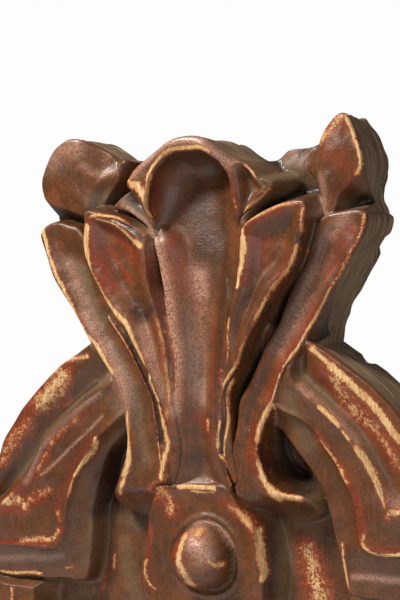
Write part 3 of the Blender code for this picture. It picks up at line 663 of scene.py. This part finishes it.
def carve_hood(height, d, x, z):
    """The hood: a rolled rim that sinks downwards, a scoop under it whose wall coves into the channel, and at
    the right a lower fold with a pocket. The scoop's section is a quarter ellipse, upright at the rim and
    level in the middle: its sink is the root of one less the square of the share of the way still to go."""
    floor = channel_floor(z)
    high = ease((z / MM - HOOD_LIP_END) / HOOD_LIP_LENGTH)
    top = floor + (HOOD - FOLD_DROP * ease((x / MM - 18) / 24) - floor) * high
    roll = 1.6 * MM * np.sin(np.clip(d["hood"] / (9 * MM), 0, 1) * np.pi)
    hooded = lay(height, d["hood"], top + roll * high)
    togo = 1 - np.clip(d["scoop"] / (SCOOP_REACH * MM), 0, 1)
    cove = top - (top - floor) * np.sqrt(1 - togo ** 2)
    cut = np.where(d["scoop"] > 0, np.minimum(hooded, cove), hooded)
    height = height + (cut - height) * ease((z / MM - HOOD_LIP_END) / HOOD_FADE)
    pocket = top - 9 * MM * ease(d["pocket"] / (8 * MM))
    return np.where(d["pocket"] > 0, np.minimum(height, pocket), height)


def carve_plate(height, d, x, z):
    """The strap plate, on it a thin ring, and the boss: a half ball, pressed a little flat."""
    height = lay(height, d["plate"], PLATE + dish(d["plate"], 2 * MM, 3 * MM, 8 * MM), SHOULDER)
    out = np.hypot(x - BOSS_CENTRE[0] * MM, z - BOSS_CENTRE[1] * MM)
    height = height + 1.8 * MM * np.exp(-((out - RING_RADIUS) / (1.6 * MM)) ** 2)
    dome = np.sqrt(np.clip(1 - (out / (BOSS_RADIUS * MM)) ** 2, 0, 1))
    return np.where(dome > 0, np.maximum(height, PLATE + (BOSS - PLATE) * dome), height)


def relief(lines, x, z, cuts):
    """Height of the wood above the back: ground, hollows, frame, blocks, tail leaf, ears, leaves, hood and
    plate, each laid over the ones before, then narrow cuts and ridges, and the swell that a gouge leaves."""
    d = {name: distance_to(lines[name], x, z) for name in (*OUTLINES, "scoop", "pocket")}
    d["ridge"] = distance_to(spline(SECOND_RIDGE, closed=False), x, z, closed=False)
    height = FIELD + (WEB - FIELD) * ease((z / MM - CREST_START) / CREST_BLEND)
    for centre_x, centre_z in HOLLOWS:
        away = (x / MM - centre_x) ** 2 + (z / MM - centre_z) ** 2
        height = height - HOLLOW_SINK * np.exp(-away / 13 ** 2)
    height = carve_frame(height, lines, x, z)
    for name in ("left_block", "right_block"):
        height = lay(height, d[name], BLOCK, SHOULDER)
    height = lay(height, d["tail_leaf"], PLATE + dish(d["tail_leaf"], 4 * MM, 3.4 * MM, 14 * MM), SHOULDER)
    height = carve_ears(height, d, x, z)
    height = carve_leaves(height, d, x, z)
    height = carve_hood(height, d, x, z)
    for half_width, rise, points in cuts:
        away = distance_to(spline(points, closed=False), x, z, closed=False)
        height = height + rise * MM * np.exp(-(away / (half_width * MM)) ** 2)
    height = carve_plate(height, d, x, z)
    calm = 1 - 0.75 * ease(d["sheath"] / (6 * MM))
    return height + calm * MM * (0.28 * swell(x, z, 26 * MM, 3) + 0.08 * swell(x, z, 8 * MM, 4))


def drawn_at(pixels, level):
    """The place on the drawing where the camera's ray through a pixel comes down to a level over the back.
    The ray is straight ahead plus the pixel's share of the focal length across and down, turned back by the
    roll."""
    across, down = ((pixels - PICTURE / 2) / (PICTURE[1] * LENS / SENSOR)).T
    across, down = across * np.cos(ROLL) - down * np.sin(ROLL), across * np.sin(ROLL) + down * np.cos(ROLL)
    eye = AIM - AHEAD * AWAY
    ray = AHEAD + RIGHT * across[:, None] - np.array([0, 0, 1]) * down[:, None]
    reach = (-level - eye[1]) / ray[:, 1]
    return eye[0] + ray[:, 0] * reach, eye[2] + ray[:, 2] * reach


def level_met(pixels, lines, cuts):
    """The first level, from the top down, at which the ray through each pixel is under the relief."""
    x, z = np.stack([drawn_at(pixels, level) for level in LEVELS], axis=-1)
    under = relief(lines, x.ravel(), z.ravel(), cuts).reshape(x.shape) >= LEVELS
    return LEVELS[np.where(under.any(axis=1), under.argmax(axis=1), len(LEVELS) - 1)]


def landed(seen, lines, cuts, wear=False):
    """Lines seen in the photo brought down to the drawing, to whole millimetres. A fine line takes its own
    level, a narrow stroke of wear the highest of its own and the two beside it, and any other the middle one
    of the three."""
    pixels = np.array([point for *_, points in seen for point in points], float)
    levels = np.array([level_met(pixels + (aside, 0), lines, cuts) for aside in (-ASIDE, 0, ASIDE)])
    own, highest, middle = levels[1], levels.max(axis=0), np.median(levels, axis=0)
    drawn, first = [], 0
    for width, strength, points in seen:
        span = slice(first, first + len(points))
        narrow = width < NARROW
        level = own if width <= FINE or narrow and not wear else highest if narrow else middle
        line = np.rint(np.column_stack(drawn_at(pixels[span], level[span])) / MM)
        line = line[np.append(True, np.any(np.diff(line, axis=0) != 0, axis=1))]
        if len(line) == 1:
            line = np.vstack([line, line + (1, -1)])
        drawn.append((width, strength, line))
        first = span.stop
    return drawn


def silhouette(lines, x, z):
    """Positive where there is wood: inside the frame, the web, an ear, an outer leaf, the hood or the tail
    leaf."""
    names = ("rim", "web", "left_ear", "right_ear", "left_outer_leaf", "right_outer_leaf", "hood", "tail_leaf")
    return np.max([distance_to(lines[name], x, z) for name in names], axis=0)


def row_beside(line, offset):
    """Points at one distance inside a closed line, left out where they come near another part of it."""
    ahead = np.roll(line, -1, axis=0) - np.roll(line, 1, axis=0)
    normal = np.column_stack([-ahead[:, 1], ahead[:, 0]]) / np.linalg.norm(ahead, axis=1)[:, None]
    area = np.sum(line[:, 0] * np.roll(line[:, 1], -1) - np.roll(line[:, 0], -1) * line[:, 1])
    row = line + normal * np.sign(area) * offset
    return row[np.abs(distance_to(line, *row.T)) > abs(offset) * 0.9]


def mesh_points(lines, marks):
    """Points for the face, and the edges that it must have: the lines where no later layer hides them. Rows
    of points run beside the lines and along the narrow marks, and a grid fills the rest."""
    bands = [line for name in BANDS for region in lines[name] for line in (region, mirrored(region))]
    names = [*OUTLINES]
    names[names.index("plate"):] = ["scoop", "pocket", "plate", "boss"]
    stack = [lines["rim"], *bands, *[lines[name] for name in names]]

    def hidden(order, x, z):
        later = [distance_to(line, x, z) for line in stack[max(order, len(bands)) + 1:]]
        if 0 < order <= len(bands):
            later.append(-distance_to(lines["rim"], x, z))
        return np.max(later, axis=0) if later else np.full(x.shape, -FAR)

    def clear_of_lines(points, gap):
        best = np.full(len(points), FAR)
        for run in runs:
            best = np.minimum(best, distance_to(run, *points.T, closed=False, reach=6 * MM))
        return points[best > gap]

    runs, edges, count = [], [], 0
    for order, line in enumerate(stack):
        seen = hidden(order, *line.T) < LINE_STEP
        k = np.flatnonzero(seen & np.roll(seen, -1))
        edges.append(np.column_stack([k, (k + 1) % len(line)]) + count)
        count += len(line)
        breaks = np.flatnonzero(np.diff(k) > 1) + 1
        runs += [line[np.append(run, run[-1] + 1) % len(line)] for run in np.split(k, breaks) if len(run)]
    rows = []
    for order, line in enumerate(stack):
        row = np.vstack([row_beside(line, offset) for offset in ROWS])
        rows.append(clear_of_lines(row[hidden(order, *row.T) < -ROW_GAP], ROW_GAP))
    for width, _, points in [mark for mark in marks if mark[0] < NARROW]:
        line = spline(points, closed=False, step=1.6 * MM)
        ahead = np.gradient(line, axis=0)
        normal = np.column_stack([-ahead[:, 1], ahead[:, 0]]) / np.linalg.norm(ahead, axis=1)[:, None]
        beside = np.vstack([line + normal * share * width * MM for share in (-0.8, 0, 0.8)])
        rows.append(clear_of_lines(beside, ROW_GAP))
    corner = np.max(np.abs(lines["rim"]), axis=0) + 0.1
    for step, kept in ((FIELD_STEP, lambda z: z > COARSE_BELOW), (COARSE_STEP, lambda z: z <= COARSE_BELOW)):
        x, z = [a.ravel() for a in np.meshgrid(*[np.arange(-reach, reach, step) for reach in corner])]
        field = np.column_stack([x + step / 2 * (np.round(z / step) % 2), z])
        field = field[kept(z)]
        rows.append(clear_of_lines(field[silhouette(lines, *field.T) > 0], FIELD_GAP))
    used, edges = np.unique(np.vstack(edges), return_inverse=True)
    return np.vstack([np.vstack(stack)[used]] + rows), edges.reshape(-1, 2)


def triangles(points, edges, lines):
    """Triangles between the points, by Delaunay's rule, that lie in the wood and turn anticlockwise."""
    flat, _, faces, *_ = delaunay_2d_cdt([Vector(p) for p in points], [tuple(map(int, e)) for e in edges],
                                         [], 0, 1e-6)
    place = np.array([tuple(p) for p in flat])
    faces = np.array([f for f in faces if len(f) == 3])
    a, b, c = place[faces].transpose(1, 0, 2)
    turn = (b - a)[:, 0] * (c - a)[:, 1] - (b - a)[:, 1] * (c - a)[:, 0]
    faces = np.where((turn > 0)[:, None], faces, faces[:, ::-1])
    middle = place[faces].mean(axis=1)
    faces = faces[silhouette(lines, *middle.T) > 0]
    used, faces = np.unique(faces, return_inverse=True)
    return place[used], faces.reshape(-1, 3)


def outer_edges(faces, count):
    """Directed edges that only one face has, found where an edge's number has no twin turned round."""
    edges = np.vstack([faces[:, (0, 1)], faces[:, (1, 2)], faces[:, (2, 0)]])
    return edges[~np.isin(edges[:, 0] * count + edges[:, 1], edges[:, 1] * count + edges[:, 0])]


def way_to_go(follow, step):
    """Length from each point of a loop to where the loop is cut, by doubling the stride: each point adds what
    the point that it leaps to has, then leaps twice as far."""
    leap, togo = follow.copy(), step.copy()
    leap[0], togo[0] = 0, 0
    for _ in range(int(np.ceil(np.log2(len(leap)))) + 1):
        togo = togo + togo[leap]
        leap = leap[leap]
    return togo


def local_mean(place, value, cell, spread):
    """Mean of a value round each place: values and counts on a grid are both blurred by a bell curve, through
    their Fourier transforms, and divided."""
    low = place.min(axis=0) - 4 * spread
    at = (place - low) / cell
    shape = tuple((np.ceil(at.max(axis=0) + 4 * spread / cell)).astype(int) + 1)
    cells = tuple(np.round(at).astype(int).T)
    total, count = np.zeros(shape), np.zeros(shape)
    np.add.at(total, cells, value)
    np.add.at(count, cells, 1)
    total = np.where(count > 0, total / np.maximum(count, 1), 0)
    count = (count > 0).astype(float)
    waves = [np.fft.fftfreq(n, cell) for n in shape]
    bell = np.exp(-2 * (np.pi * spread) ** 2 * (waves[0][:, None] ** 2 + waves[1][None] ** 2))
    total, count = [np.fft.ifft2(np.fft.fft2(grid) * bell).real for grid in (total, count)]
    mean = total / np.maximum(count, 1e-6)
    i, j = np.floor(at).astype(int).T
    u, v = (at - np.floor(at)).T
    return ((1 - u) * (1 - v) * mean[i, j] + u * (1 - v) * mean[i + 1, j]
            + (1 - u) * v * mean[i, j + 1] + u * v * mean[i + 1, j + 1])


def facing(solid, faces):
    """How squarely the face looks forward at each corner: the y part of the mean of its triangles' unit
    normals."""
    a, b, c = solid[faces].transpose(1, 0, 2)
    normals = np.cross(b - a, c - a)
    normals /= np.linalg.norm(normals, axis=1)[:, None]
    total = np.zeros_like(solid)
    for k in range(3):
        np.add.at(total, faces[:, k], normals)
    return np.abs(total[:, 1]) / np.linalg.norm(total, axis=1)


def brushed(strokes, x, z):
    """Strength of the strongest brush stroke at each place, falling off from its line as a bell curve."""
    strength = np.zeros(x.shape)
    for radius, strongest, points in strokes:
        away = distance_to(spline(points, closed=False, step=5 * MM), x, z, closed=False)
        strength = np.maximum(strength, strongest * np.exp(-(away / (radius * MM)) ** 2))
    return strength


def carved_ornament():
    """The whole carving as one closed mesh. The face is the relief over the triangulated drawing. The side is
    a ladder of rows from the face's edge to the back, dented inwards by the hewing, and the back is flat."""
    lines = draw_lines()
    cuts = landed(SEEN_CUTS, lines, []) + DRAWN_CUTS
    crest, frame_wear, field, ground = [landed(seen, lines, cuts, wear=True)
                                        for seen in (GESSO_AND_GLINT_CREST, GESSO_FRAME, GESSO_FIELD, BOLE)]
    rubbed_and_lit, dark_and_shade, dust = [landed(seen, lines, cuts) for seen in (BLOOM_AND_HIGHLIGHT, DARK_AND_SHADE, PATINA)]
    place, face = triangles(*mesh_points(lines, cuts + crest + frame_wear + ground + rubbed_and_lit), lines)
    x, z = place.T
    height = relief(lines, x, z, cuts)
    folded = MIRROR_LINE + np.abs(z - MIRROR_LINE)
    # Dust and the painted shade of deep hollows are both kept out of the hood's scoop
    wiped = 1 - 0.85 * ease(distance_to(lines["scoop"], x, z) / (3 * MM))
    front = facing(np.column_stack([x, -height, z]), face)
    gesso_and_glint = [brushed(crest, x, z), brushed(frame_wear, x, folded), brushed(field, x, z)]
    slits = brushed([stroke for stroke in dark_and_shade if stroke[0] < 2.5], x, z)
    patina = brushed(dust, x, z)
    # Painted shade: faces that turn away from the front are darkened, less where dust lies
    wall_shade = 0.55 * (1 - 0.8 * patina) * (1 - ease((front - 0.2) / 0.4))

    facts = {
        "gesso_and_glint": np.max(gesso_and_glint, axis=0) * ease((front - 0.18) / 0.27) * (1 - slits),
        "bole": brushed(ground, x, z), "bloom_and_highlight": brushed(rubbed_and_lit, x, z),
        # Stain and painted shade together: the dark strokes and the shaded walls
        "stain_and_shade": np.maximum(brushed(dark_and_shade, x, z), wall_shade), "patina": patina,
        "arris": (height - local_mean(place, height, 1.2 * MM, 2.4 * MM)) / MM,
        "hollow": (local_mean(place, height, 1.5 * MM, 8 * MM) - height) / MM * wiped,
    }

    ring, follow = np.unique(outer_edges(face, len(place)), return_inverse=True)
    follow = follow.reshape(-1, 2)
    after = np.zeros(len(ring), int)
    after[follow[:, 0]] = follow[:, 1]
    before = np.zeros(len(ring), int)
    before[after] = np.arange(len(ring))
    rim = place[ring]
    tangent = rim[after] - rim[before]
    inward = np.column_stack([-tangent[:, 1], tangent[:, 0]]) / np.linalg.norm(tangent, axis=1)[:, None]
    along = way_to_go(after, np.linalg.norm(rim[after] - rim, axis=1))
    down = np.arange(1, WALL_ROWS + 1)[:, None] / WALL_ROWS
    depth = height[ring] * (1 - down)
    s = along + np.zeros_like(down)
    gouge = 0.6 * swell(s, 5 * depth, 90 * MM, 11) + 0.3 * swell(s, 4 * depth, 24 * MM, 12)
    chips = 2.6 * ease((down - 0.7) / 0.3) * np.clip(swell(s, 2 * depth, 30 * MM, 13) - 0.4, 0, 1.4)
    dent = MM * (ease(down / 0.2) * (0.7 + np.clip(gouge, -0.7, 2)) + chips)
    wall = rim + inward * dent[..., None]
    side = np.stack([wall[..., 0], -depth, wall[..., 1]], axis=-1)

    loop = np.column_stack([np.arange(len(ring)), after])
    corner = np.abs(rim).max(axis=0)
    grid = np.stack(np.meshgrid(*[np.arange(-reach, reach, 9 * MM) for reach in corner]), axis=-1).reshape(-1, 2)
    grid = grid[silhouette(lines, *grid.T) > 8 * MM]
    back, back_face = triangles(np.vstack([rim, grid]), loop, lines)
    back = np.column_stack([back[:, 0], np.zeros(len(back)), back[:, 1]])[len(ring):]

    first_row, first_back = len(place), len(place) + side.shape[0] * len(ring)
    rows = np.vstack([ring, first_row + np.arange(side.shape[0] * len(ring)).reshape(-1, len(ring))])
    quads = np.stack([rows[:-1], rows[1:], rows[1:][:, after], rows[:-1][:, after]], axis=-1).reshape(-1, 4)
    back_face = (first_back - len(ring) + back_face)[:, ::-1]
    corners = np.vstack([np.column_stack([x, -height, z]), side.reshape(-1, 3), back])
    corners[:, 0] += 0.6 * MM * swell(corners[:, 0], corners[:, 2], 42 * MM, 21)
    corners[:, 2] += 0.6 * MM * swell(corners[:, 0], corners[:, 2], 42 * MM, 22)

    mesh = bpy.data.meshes.new("carved_ornament")
    mesh.from_pydata(corners.tolist(), [], face.tolist() + quads.tolist() + back_face.tolist())
    spare = len(corners) - len(place)
    for name, value in facts.items():
        put(mesh, name, np.append(value, np.zeros(spare)))
    put(mesh, "bare", np.concatenate([np.zeros(len(place)), np.repeat(ease(down[:, 0] / 0.12), len(ring)),
                                      np.ones(len(back))]))
    put(mesh, "sawn", np.append(np.zeros(first_back), np.ones(len(back))))
    grain = np.vstack([np.column_stack([z, x, height]),
                       np.column_stack([s.ravel(), depth.ravel() * 2, np.zeros(s.size)]),
                       np.column_stack([back[:, 2], back[:, 0], back[:, 1]])])
    mesh.attributes.new("grain", "FLOAT_VECTOR", "POINT").data.foreach_set("vector", grain.ravel())
    mesh.shade_smooth()
    ornament = bpy.data.objects.new("carved_ornament", mesh)
    bpy.context.scene.collection.objects.link(ornament)
    return ornament


def put(mesh, name, value):
    """Keeps one number for each corner of a mesh under a name that the finish reads."""
    mesh.attributes.new(name, "FLOAT", "POINT").data.foreach_set("value", value.astype(np.float32))


def linear(red, green, blue):
    """A colour given as a screen shows it, 0 to 255, made linear by the screen's own curve."""
    share = np.array([red, green, blue]) / 255
    share = np.where(share > 0.04045, ((share + 0.055) / 1.055) ** 2.4, share / 12.92)
    return (*map(float, share), 1.0)


class Amount:
    """A number that varies over a surface. Each operator adds the Math node that works it out."""

    def __init__(self, finish, socket):
        self.finish, self.socket = finish, socket

    def worked(self, operation, *terms):
        return self.finish.add("ShaderNodeMath", {"operation": operation}, dict(enumerate(terms)))

    def __add__(self, other):
        return self.worked("ADD", self, other)

    def __sub__(self, other):
        return self.worked("SUBTRACT", self, other)

    def __rsub__(self, other):
        return self.worked("SUBTRACT", other, self)

    def __mul__(self, other):
        return self.worked("MULTIPLY", self, other)

    __radd__ = __add__
    __rmul__ = __mul__

    def most(self, other):
        return self.worked("MAXIMUM", self, other)

    def ramp(self, low, high, to_low=0.0, to_high=1.0):
        """An eased run from to_low at low to to_high at high."""
        return self.finish.add("ShaderNodeMapRange", {"interpolation_type": "SMOOTHSTEP"},
                               {0: self, 1: low, 2: high, 3: to_low, 4: to_high})


class Finish:
    """A material and the nodes that paint it."""

    def __init__(self, name):
        self.material = bpy.data.materials.new(name)
        self.material.use_nodes = True
        self.tree = self.material.node_tree
        self.surface = self.tree.nodes["Principled BSDF"]

    def feed(self, socket, value):
        if isinstance(value, Amount):
            self.tree.links.new(value.socket, socket)
        else:
            socket.default_value = value

    def add(self, kind, settings=None, sockets=None, out=0):
        node = self.tree.nodes.new(kind)
        for name, value in (settings or {}).items():
            setattr(node, name, value)
        for key, value in (sockets or {}).items():
            self.feed(node.inputs[key], value)
        return Amount(self, node.outputs[out])

    def painted(self, name):
        return self.add("ShaderNodeAttribute", {"attribute_name": name}, out=2)

    def blend(self, share, under, over):
        """One colour laid over another by a share."""
        return self.add("ShaderNodeMix", {"data_type": "RGBA"}, {0: share, 6: under, 7: over}, out=2)

    def grain(self, place, size, detail=3.0, rough=0.55, stretch=(1, 1, 1), shift=0.0):
        """Cloudy noise with features of about one size in millimetres, drawn out along an axis by a small
        stretch."""
        turned = self.add("ShaderNodeMapping", {}, {0: place, 1: (shift, shift, shift), 3: stretch})
        return self.add("ShaderNodeTexNoise", {}, {"Vector": turned, "Scale": 1000 / size, "Detail": detail,
                                                   "Roughness": rough})


def worn_lacquer():
    """Old lacquer on carved wood. Where the wear is, the arrises stand out and the brush lines lie, the
    lacquer is gone: first to red ground, then to pale gesso, its edge broken by fine noise; a few of the pale
    strokes are painted highlights. Hollows hold grey-olive dust, and the deepest are darkened nearly to black
    as painted shade. Crowns carry a lilac rub and painted highlights, and the dark strokes and the walls turned
    from the front carry stain and painted shade. The hewn side and the sawn back are brown and grained along
    their length."""
    f = Finish("worn_lacquer")
    place = f.add("ShaderNodeTexCoord", out=3)
    along = f.add("ShaderNodeAttribute", {"attribute_name": "grain"}, out=1)
    gesso_and_glint, bole, bloom_and_highlight = f.painted("gesso_and_glint"), f.painted("bole"), f.painted("bloom_and_highlight")
    stain_and_shade, patina, bare, sawn = f.painted("stain_and_shade"), f.painted("patina"), f.painted("bare"), f.painted("sawn")
    arris, hollow = f.painted("arris"), f.painted("hollow")

    broad = f.grain(place, 60, 4, 0.6)
    cloud = f.grain(place, 14, 5, 0.62, shift=3.0)
    blot = f.grain(place, 6, 4, 0.65, shift=9.0)
    fleck = f.grain(place, 2.6, 4, 0.7, shift=7.0)
    speck = f.grain(place, 1.1, 2, 0.7, shift=11.0)
    streak = f.grain(along, 3.6, 5, 0.65, stretch=(0.07, 1, 1))
    strand = f.grain(along, 1.6, 3, 0.7, stretch=(0.06, 1, 1), shift=5.0)

    # Lacquer: brown, redder and darker in clouds, with brush streaks down the leaves and fine dark and light
    # dots
    tone = f.blend(cloud.ramp(0.36, 0.66), linear(82, 48, 22), linear(110, 61, 28))
    tone = f.blend(broad.ramp(0.48, 0.68) * 0.7, tone, linear(76, 47, 26))
    tone = f.blend(strand.ramp(0.46, 0.7) * 0.45, tone, linear(130, 72, 38))
    tone = f.blend(fleck.ramp(0.52, 0.7) * 0.6, tone, linear(60, 33, 18))
    tone = f.blend(bole * (0.4 + blot.ramp(0.35, 0.6) * 0.5), tone, linear(138, 44, 17))

    # Dust: grey-olive in the hollows and where it was never wiped
    dusty = (hollow.ramp(0.6, 6.0) * 0.6).most(patina * 0.95) * (0.6 + cloud * 0.7)
    tone = f.blend(dusty.ramp(0, 1) * fleck.ramp(0.3, 0.6, 1.0, 0.6), tone, linear(108, 90, 62))
    # Painted shade: the deepest hollows darkened nearly to black
    tone = f.blend(hollow.ramp(6.0, 13.0) * 0.9, tone, linear(24, 18, 11))
    # Stain and painted shade: soot from the dark strokes, with shade painted in gaps, under rims and on walls
    # turned from the front
    tone = f.blend(stain_and_shade * blot.ramp(0.2, 0.6, 0.6, 1), tone, linear(36, 24, 16))

    # Bloom and painted highlights: lilac grey rub on the crowns that stand out, with highlights painted in the
    # same colour, dotted with dark pits
    rub_and_highlight = bloom_and_highlight * (0.55 + blot * 0.6) * speck.ramp(0.38, 0.62, 1.0, 0.35)
    tone = f.blend(rub_and_highlight, tone, linear(200, 152, 130))
    tone = f.blend(speck.ramp(0.54, 0.68) * 0.6, tone, linear(44, 24, 13))
    tone = f.blend(speck.ramp(0.3, 0.45, 0.35, 0.0), tone, linear(160, 92, 48))

    # Wear: red ground first, then gesso, its edge broken up by blots, flecks and specks; a few gesso strokes are
    # painted highlights in the same pale tan
    wear = gesso_and_glint + arris.ramp(0.2, 1.4) * (0.16 + gesso_and_glint * 0.35) + (blot - 0.5) * 0.8 + (fleck - 0.5) * 1.5
    wear = wear + (speck - 0.5) * 1.1 + (strand - 0.5) * 0.15
    red = wear.ramp(0.34, 0.56) * (1 - bare)
    pale = wear.ramp(0.62, 0.76) * (1 - bare)
    tone = f.blend(red * 0.85, tone, linear(146, 62, 28))
    tan = f.blend(strand.ramp(0.35, 0.65), linear(190, 140, 84), linear(222, 190, 138))
    tan = f.blend(gesso_and_glint.ramp(0.5, 0.85, 0.75, 0.0), tan, linear(180, 114, 62))
    tan = f.blend(speck.ramp(0.54, 0.72) * 0.6, tan, linear(140, 82, 42))
    tone = f.blend(pale, tone, tan)

    # Side and back: hewn or sawn wood, grey-brown with dark strands
    wood = f.blend(streak.ramp(0.35, 0.65), linear(98, 75, 52), linear(156, 128, 98))
    wood = f.blend(strand.ramp(0.48, 0.62) * 0.8, wood, linear(50, 38, 28))
    wood = f.blend(broad.ramp(0.5, 0.75) * 0.5, wood, linear(100, 66, 44))
    board = f.blend(streak.ramp(0.3, 0.7), linear(116, 88, 58), linear(150, 120, 84))
    board = f.blend(strand.ramp(0.5, 0.72) * 0.6, board, linear(84, 60, 40))
    wood = f.blend(sawn * 0.8, wood, board)
    colour = f.blend(bare, tone, wood)

    rough = 0.25 + cloud * 0.12 + dusty.ramp(0, 1) * 0.28 + pale * 0.28 + speck * 0.12 - bloom_and_highlight * 0.07
    rough = rough + bare * (0.74 - rough)
    rise = blot * 0.25 + fleck * 0.25 + speck * 0.30 + strand * 0.12 + pale * -0.45
    rise = rise + bare * (streak * 1.2 + strand * 0.8)
    bump = f.add("ShaderNodeBump", {}, {"Height": rise, "Strength": 0.65, "Distance": 0.0014})
    f.feed(f.surface.inputs["Base Color"], colour)
    f.feed(f.surface.inputs["Roughness"], rough)
    f.feed(f.surface.inputs["Normal"], bump)
    f.feed(f.surface.inputs["Coat Weight"], (1 - bare) * (1 - pale) * 0.18)
    f.surface.inputs["Coat Roughness"].default_value = 0.2
    f.surface.inputs["Specular IOR Level"].default_value = 0.45
    return f.material


def pale_floor():
    """A wide level sheet just under the ornament, plain and pale."""
    low = CAD_BOX[0][2] - 1 * MM
    corners = [(-0.9, -0.9, low), (0.9, -0.9, low), (0.9, 0.9, low), (-0.9, 0.9, low)]
    mesh = bpy.data.meshes.new("floor")
    mesh.from_pydata(corners, [], [(0, 1, 2, 3)])
    floor = bpy.data.objects.new("floor", mesh)
    bpy.context.scene.collection.objects.link(floor)
    f = Finish("pale_floor")
    f.surface.inputs["Base Color"].default_value = (0.8, 0.8, 0.8, 1)
    f.surface.inputs["Roughness"].default_value = 0.9
    mesh.materials.append(f.material)


def soft_light(name, place, aim, size, power, tint=(1, 1, 1)):
    """A square soft box that looks from its place at its aim."""
    light = bpy.data.lights.new(name, "AREA")
    light.size, light.energy, light.color = size, power, tint
    lamp = bpy.data.objects.new(name, light)
    lamp.location = place
    lamp.rotation_euler = (Vector(aim) - Vector(place)).to_track_quat("-Z", "Y").to_euler()
    bpy.context.scene.collection.objects.link(lamp)


def studio():
    """A white surround, a large soft key high up in front, to the left, and a weak fill from the right."""
    world = bpy.data.worlds.new("surround")
    bpy.context.scene.world = world
    world.use_nodes = True
    nodes, links = world.node_tree.nodes, world.node_tree.links
    seen, lit = nodes["Background"], nodes.new("ShaderNodeBackground")
    seen.inputs["Color"].default_value = (0.98, 0.98, 0.98, 1)
    lit.inputs["Color"].default_value = (1.0, 0.96, 0.91, 1)
    lit.inputs["Strength"].default_value = 0.15
    ray, mix = nodes.new("ShaderNodeLightPath"), nodes.new("ShaderNodeMixShader")
    links.new(ray.outputs["Is Camera Ray"], mix.inputs[0])
    links.new(lit.outputs[0], mix.inputs[1])
    links.new(seen.outputs[0], mix.inputs[2])
    links.new(mix.outputs[0], nodes["World Output"].inputs[0])
    soft_light("key", (-0.6, -1.05, 1.45), (0, 0, 0.12), 0.42, 46, (1.0, 0.97, 0.92))
    soft_light("fill", (1.5, -1.3, 0.3), (0, 0, 0.1), 1.2, 10)
    bpy.context.scene.view_settings.view_transform = "Standard"


def portrait_camera():
    """The photo's camera, from the named values: it looks ahead from its distance behind the aim, rolled."""
    pose = Matrix((RIGHT, (0, 0, 1), -AHEAD)).transposed().to_4x4() @ Matrix.Rotation(-ROLL, 4, "Z")
    pose.translation = AIM - AHEAD * AWAY
    lens = bpy.data.cameras.new("portrait")
    lens.lens, lens.sensor_width = LENS, SENSOR
    camera = bpy.data.objects.new("portrait", lens)
    camera.matrix_world = pose
    bpy.context.scene.collection.objects.link(camera)
    bpy.context.scene.camera = camera


portrait_camera()
studio()
pale_floor()
ornament = carved_ornament()
ornament.data.materials.append(worn_lacquer())
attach(ornament, "root")
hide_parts("carved_applique")
